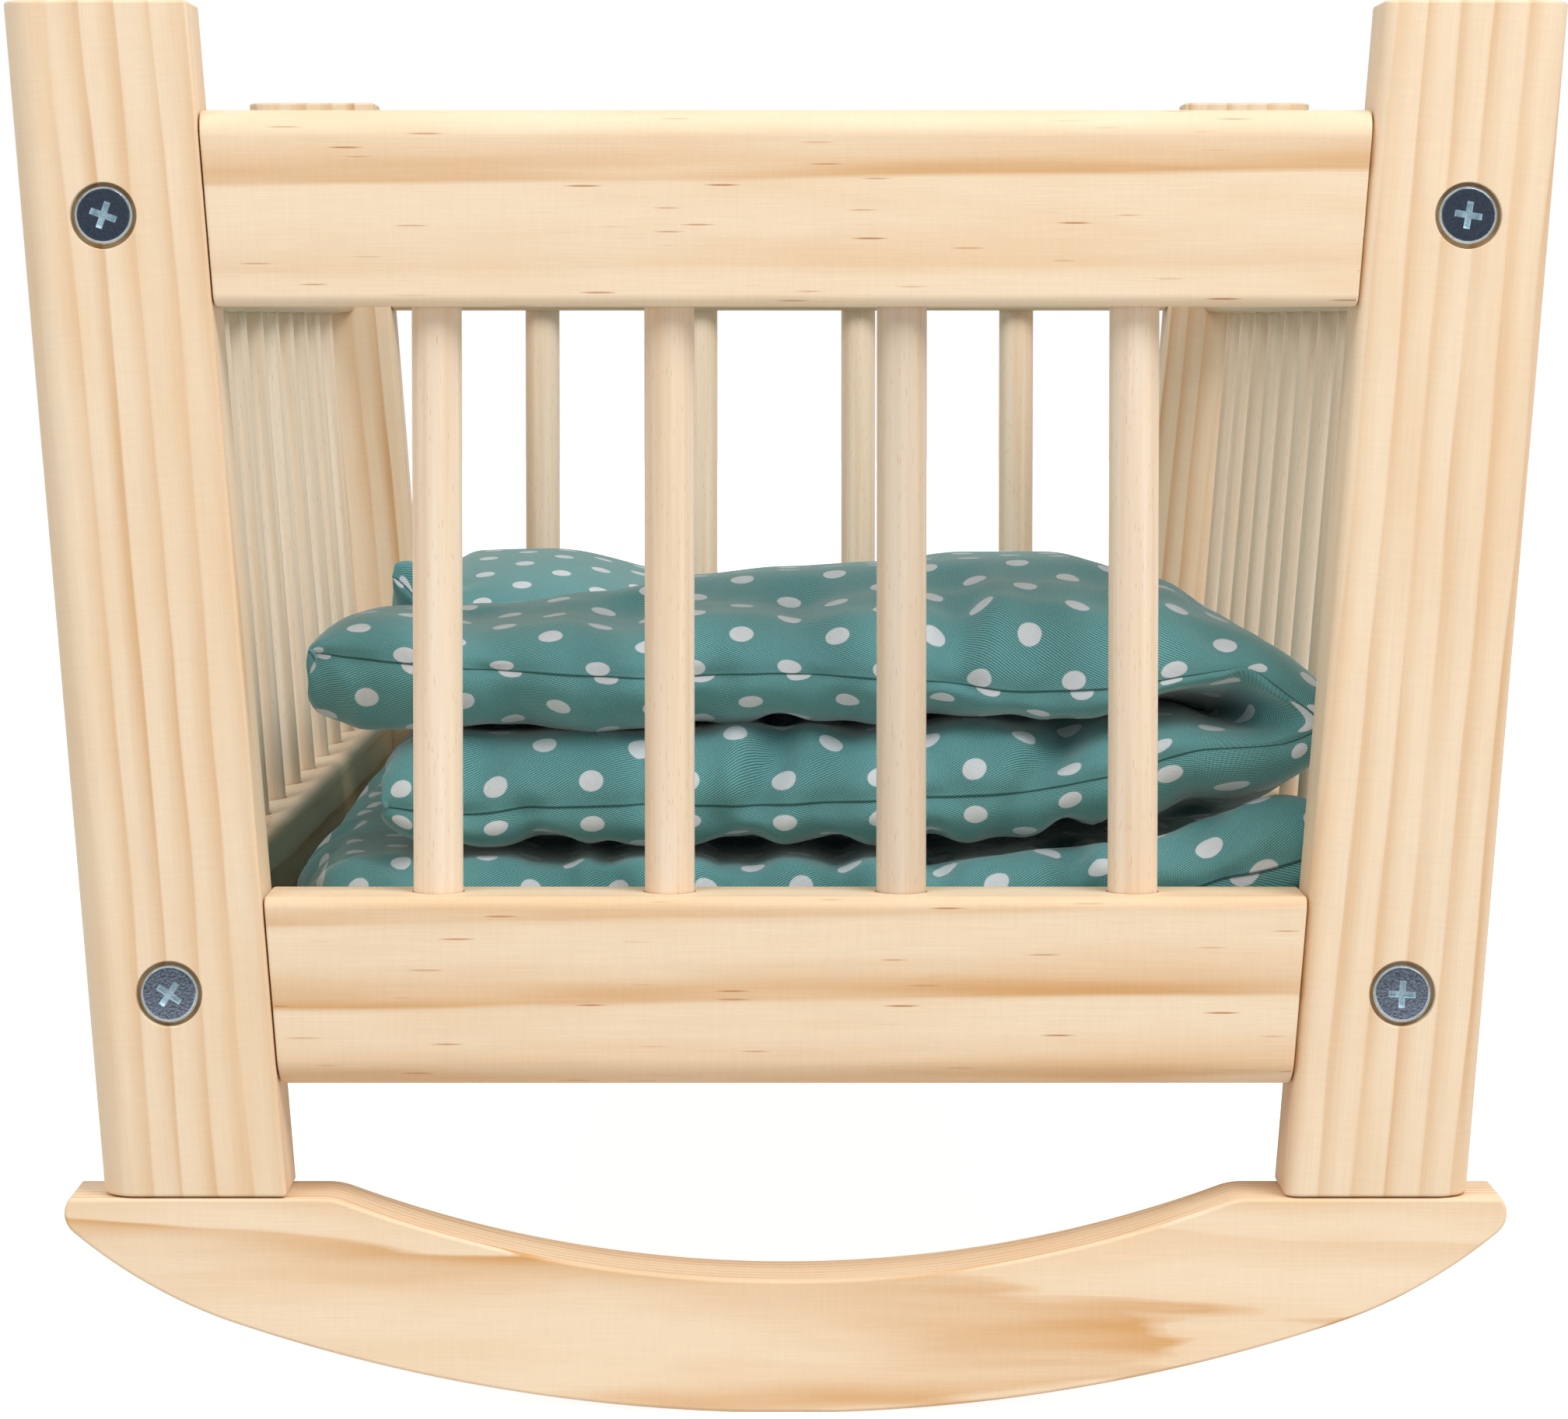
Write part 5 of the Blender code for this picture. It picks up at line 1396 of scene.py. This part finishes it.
class CRADLE_OT_spindles(bpy.types.Operator):
    """Model one dowel for the ends and one for each side, and copy them to every seat"""
    bl_idname = "cradle.spindles"
    bl_label = "Spindles"

    def execute(self, context):
        wood = shared("turned_birch_dowel", dowel_wood, context.scene.cradle_wood)
        draw = random.Random(11)
        rows = {0.0: [f"end_spindle_{end}_{number}" for end in ("front", "rear")
                      for number in END_SPINDLES]}
        for side, lean in (("right", LEAN), ("left", -LEAN)):
            rows[lean] = [f"side_spindle_{side}_{number:02d}" for number in SIDE_SPINDLES]
        for lean, nodes in rows.items():
            dowels = [make_spindle(f"{nodes[0]}_dowel", nodes[0], lean)]
            for node in nodes[1:]:
                make_active(dowels[0])
                bpy.ops.object.duplicate()
                bpy.context.object.location = middle_of(node) - middle_of(nodes[0])
                dowels.append(adopt(f"{node}_dowel"))
            for node, dowel in zip(nodes, dowels):
                turn = draw.uniform(0, 2 * math.pi)
                pith = (draw.uniform(0.02, 0.06), draw.uniform(0.02, 0.06), draw.uniform(0, 9))
                tone = DOWEL_TONES.get(node, draw.uniform(-0.05, 0.03))
                set_grain(dowel, middle_of(node), up_the_lean(lean),
                          (math.cos(turn), math.sin(turn), 0), pith, tone)
                smooth(dowel)
                settle(dowel, wood, node)
        return {"FINISHED"}


class CRADLE_OT_rockers(bpy.types.Operator):
    """Saw the front rocker to its outline and mirror it to the rear"""
    bl_idname = "cradle.rockers"
    bl_label = "Rockers"

    def execute(self, context):
        front = make_rocker("rocker_front_wood")
        rear = copy_mirrored(front, "rocker_rear_wood", 1, -1)
        finish_boards(context, (1, 0, 0), (0, 0, 1), front, rear)
        return {"FINISHED"}


class CRADLE_OT_screws(bpy.types.Operator):
    """Model each screw with its recess turned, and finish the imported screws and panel"""
    bl_idname = "cradle.screws"
    bl_label = "Screws and panel"

    def execute(self, context):
        screws = context.scene.cradle_screws
        zinc = shared("blue_zinc_plated_steel", zinc_plate, screws)
        ply = shared("birch_plywood", plywood, context.scene.cradle_wood)
        for end, along in (("front", -1), ("rear", 1)):
            for place in ("upper_left", "upper_right", "lower_left", "lower_right"):
                level, side = place.split("_")
                node = f"frame_screw_{level}_{end}_{side}"
                screw = make_screw(f"{node}_head", node, along, getattr(screws, f"turn_{place}"))
                smooth(screw)
                settle(screw, zinc, node)
        for node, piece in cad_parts.items():
            if node.startswith(("rocker_screw", "base_panel")):
                cover(piece, ply if node == "base_panel" else zinc)
        return {"FINISHED"}


class CRADLE_OT_mattress(bpy.types.Operator):
    """Sew and stuff the mattress"""
    bl_idname = "cradle.mattress"
    bl_label = "Mattress"

    def execute(self, context):
        finish_cushion(context, make_mattress(), "mattress")
        return {"FINISHED"}


class CRADLE_OT_duvet(bpy.types.Operator):
    """Sew, fold and stuff the duvet"""
    bl_idname = "cradle.duvet"
    bl_label = "Duvet"

    def execute(self, context):
        finish_cushion(context, make_duvet(), "duvet")
        return {"FINISHED"}


class CRADLE_OT_pillow(bpy.types.Operator):
    """Sew and stuff the pillow"""
    bl_idname = "cradle.pillow"
    bl_label = "Pillow"

    def execute(self, context):
        finish_cushion(context, make_pillow(), "pillow")
        return {"FINISHED"}


class CRADLE_OT_stage(bpy.types.Operator):
    """Set the white floor, the soft lamps and the camera of the photograph"""
    bl_idname = "cradle.stage"
    bl_label = "Stage"

    def execute(self, context):
        stage = context.scene.cradle_stage
        context.scene.view_settings.view_transform = "Standard"
        make_floor()
        make_card()
        make_room(context.scene, stage.sky)
        add_lamp("right_lamp", 1, stage.right)
        add_lamp("left_lamp", -1, stage.left)
        make_camera(context.scene)
        return {"FINISHED"}


def seen_share(tree):
    """1 for rays from the camera, a gloss or a transparent piece, 0 for the others."""
    seen = 0.0
    for kind in ("Is Camera Ray", "Is Glossy Ray", "Is Transmission Ray"):
        path = add_node(tree, "LightPath", out=kind)
        seen = add_node(tree, "Math", (seen, path), operation="MAXIMUM")
    return seen


def make_floor():
    """A white sweep that keeps the cradle's shadow."""
    deselect_all()
    bpy.ops.mesh.primitive_plane_add(size=12, location=(0, 0, 0))
    floor = adopt("floor")
    material, add, finish = new_material("white_paper")
    finish({"Base Color": linear("#d2d2d2"), "Roughness": 0.9})
    tree = material.node_tree
    strength = add("Math", (seen_share(tree), FLOOR_GLOW), operation="MULTIPLY")
    glow = add("Emission", {"Color": (1, 1, 1, 1), "Strength": strength})
    both = add("AddShader", (tree.nodes["Principled BSDF"].outputs[0], glow))
    connect(tree, tree.nodes["Material Output"], {"Surface": both})
    cover(floor, material)


def make_card():
    """A dim card before the cradle that is seen in the metal alone, as a dark studio would be."""
    deselect_all()
    bpy.ops.mesh.primitive_plane_add(size=1, location=(0, CARD_Y, CARD_HEIGHT / 2),
                                     rotation=(math.pi / 2, 0, 0),
                                     scale=(CARD_WIDTH, CARD_HEIGHT, 1))
    card = adopt("dark_card")
    material, _, finish = new_material("dim_studio")
    finish({"Base Color": (0, 0, 0, 1), "Emission Color": linear("#8c99a8"),
            "Emission Strength": 0.4})
    cover(card, material)
    for ray in ("camera", "diffuse", "shadow", "transmission", "volume_scatter"):
        setattr(card, f"visible_{ray}", False)


def make_room(scene, strength):
    """Even white light, and plain white where the camera or a gloss looks past the floor."""
    scene.world = bpy.data.worlds.new("white_room")
    scene.world.use_nodes = True
    tree = scene.world.node_tree
    connect(tree, tree.nodes["Background"], ((1, 1, 1, 1), strength))
    white = add_node(tree, "Background", ((1, 1, 1, 1), 1.0))
    both = add_node(tree, "MixShader",
                    (seen_share(tree), tree.nodes["Background"].outputs[0], white))
    connect(tree, tree.nodes["World Output"], {"Surface": both})


def add_lamp(name, side, power):
    """A square soft lamp above one side of the camera, aimed at the cradle."""
    deselect_all()
    place = Vector((side * LAMP_X, LAMP_Y, LAMP_Z))
    turn = (Vector((0, 0, TOP_Z / 2)) - place).to_track_quat("-Z", "Y").to_euler()
    bpy.ops.object.light_add(type="AREA", location=place, rotation=turn)
    lamp = bpy.context.object
    lamp.name = name
    lamp.data.size = LAMP_SIZE
    lamp.data.energy = power


def make_camera(scene):
    """The photograph's camera: level lines kept by a shift, the rest of the drop by a tilt."""
    deselect_all()
    bpy.ops.object.camera_add(location=CAMERA_PLACE, rotation=(math.pi / 2 - CAMERA_TILT, 0, 0))
    camera = bpy.context.object
    camera.name = "camera"
    camera.data.sensor_width = SENSOR * 1000
    camera.data.lens = FOCAL_PIXELS / IMAGE_WIDTH * SENSOR * 1000
    camera.data.shift_x, camera.data.shift_y = CAMERA_SHIFT
    camera.data.clip_start = 0.01
    scene.camera = camera


class CRADLE_PT_panel(bpy.types.Panel):
    """Colours, turns and light, and the modelling steps of the cradle"""
    bl_idname = "CRADLE_PT_panel"
    bl_label = "Doll Cradle"
    bl_space_type = "VIEW_3D"
    bl_region_type = "UI"
    bl_category = "Cradle"

    def draw(self, context):
        layout = self.layout
        for group in (getattr(context.scene, key) for key in GROUPS):
            column = layout.column()
            for key in group.__annotations__:
                column.prop(group, key)
        for step in STEPS:
            layout.operator(step.bl_idname)


GROUPS = {"cradle_wood": CradleWood, "cradle_screws": CradleScrews, "cradle_cotton": CradleCotton,
          "cradle_stage": CradleStage}
STEPS = (CRADLE_OT_stage, CRADLE_OT_posts, CRADLE_OT_end_rails, CRADLE_OT_side_rails,
         CRADLE_OT_spindles, CRADLE_OT_rockers, CRADLE_OT_screws, CRADLE_OT_mattress,
         CRADLE_OT_duvet, CRADLE_OT_pillow)
CLASSES = (*GROUPS.values(), *STEPS, CRADLE_PT_panel)


def register():
    for item in CLASSES:
        bpy.utils.register_class(item)
    for key, group in GROUPS.items():
        setattr(bpy.types.Scene, key, PointerProperty(type=group))


def unregister():
    for key in GROUPS:
        delattr(bpy.types.Scene, key)
    for item in reversed(CLASSES):
        bpy.utils.unregister_class(item)


def main():
    register()
    for step in STEPS:
        group, action = step.bl_idname.split(".")
        getattr(getattr(bpy.ops, group), action)()


if __name__ == "__main__":
    main()
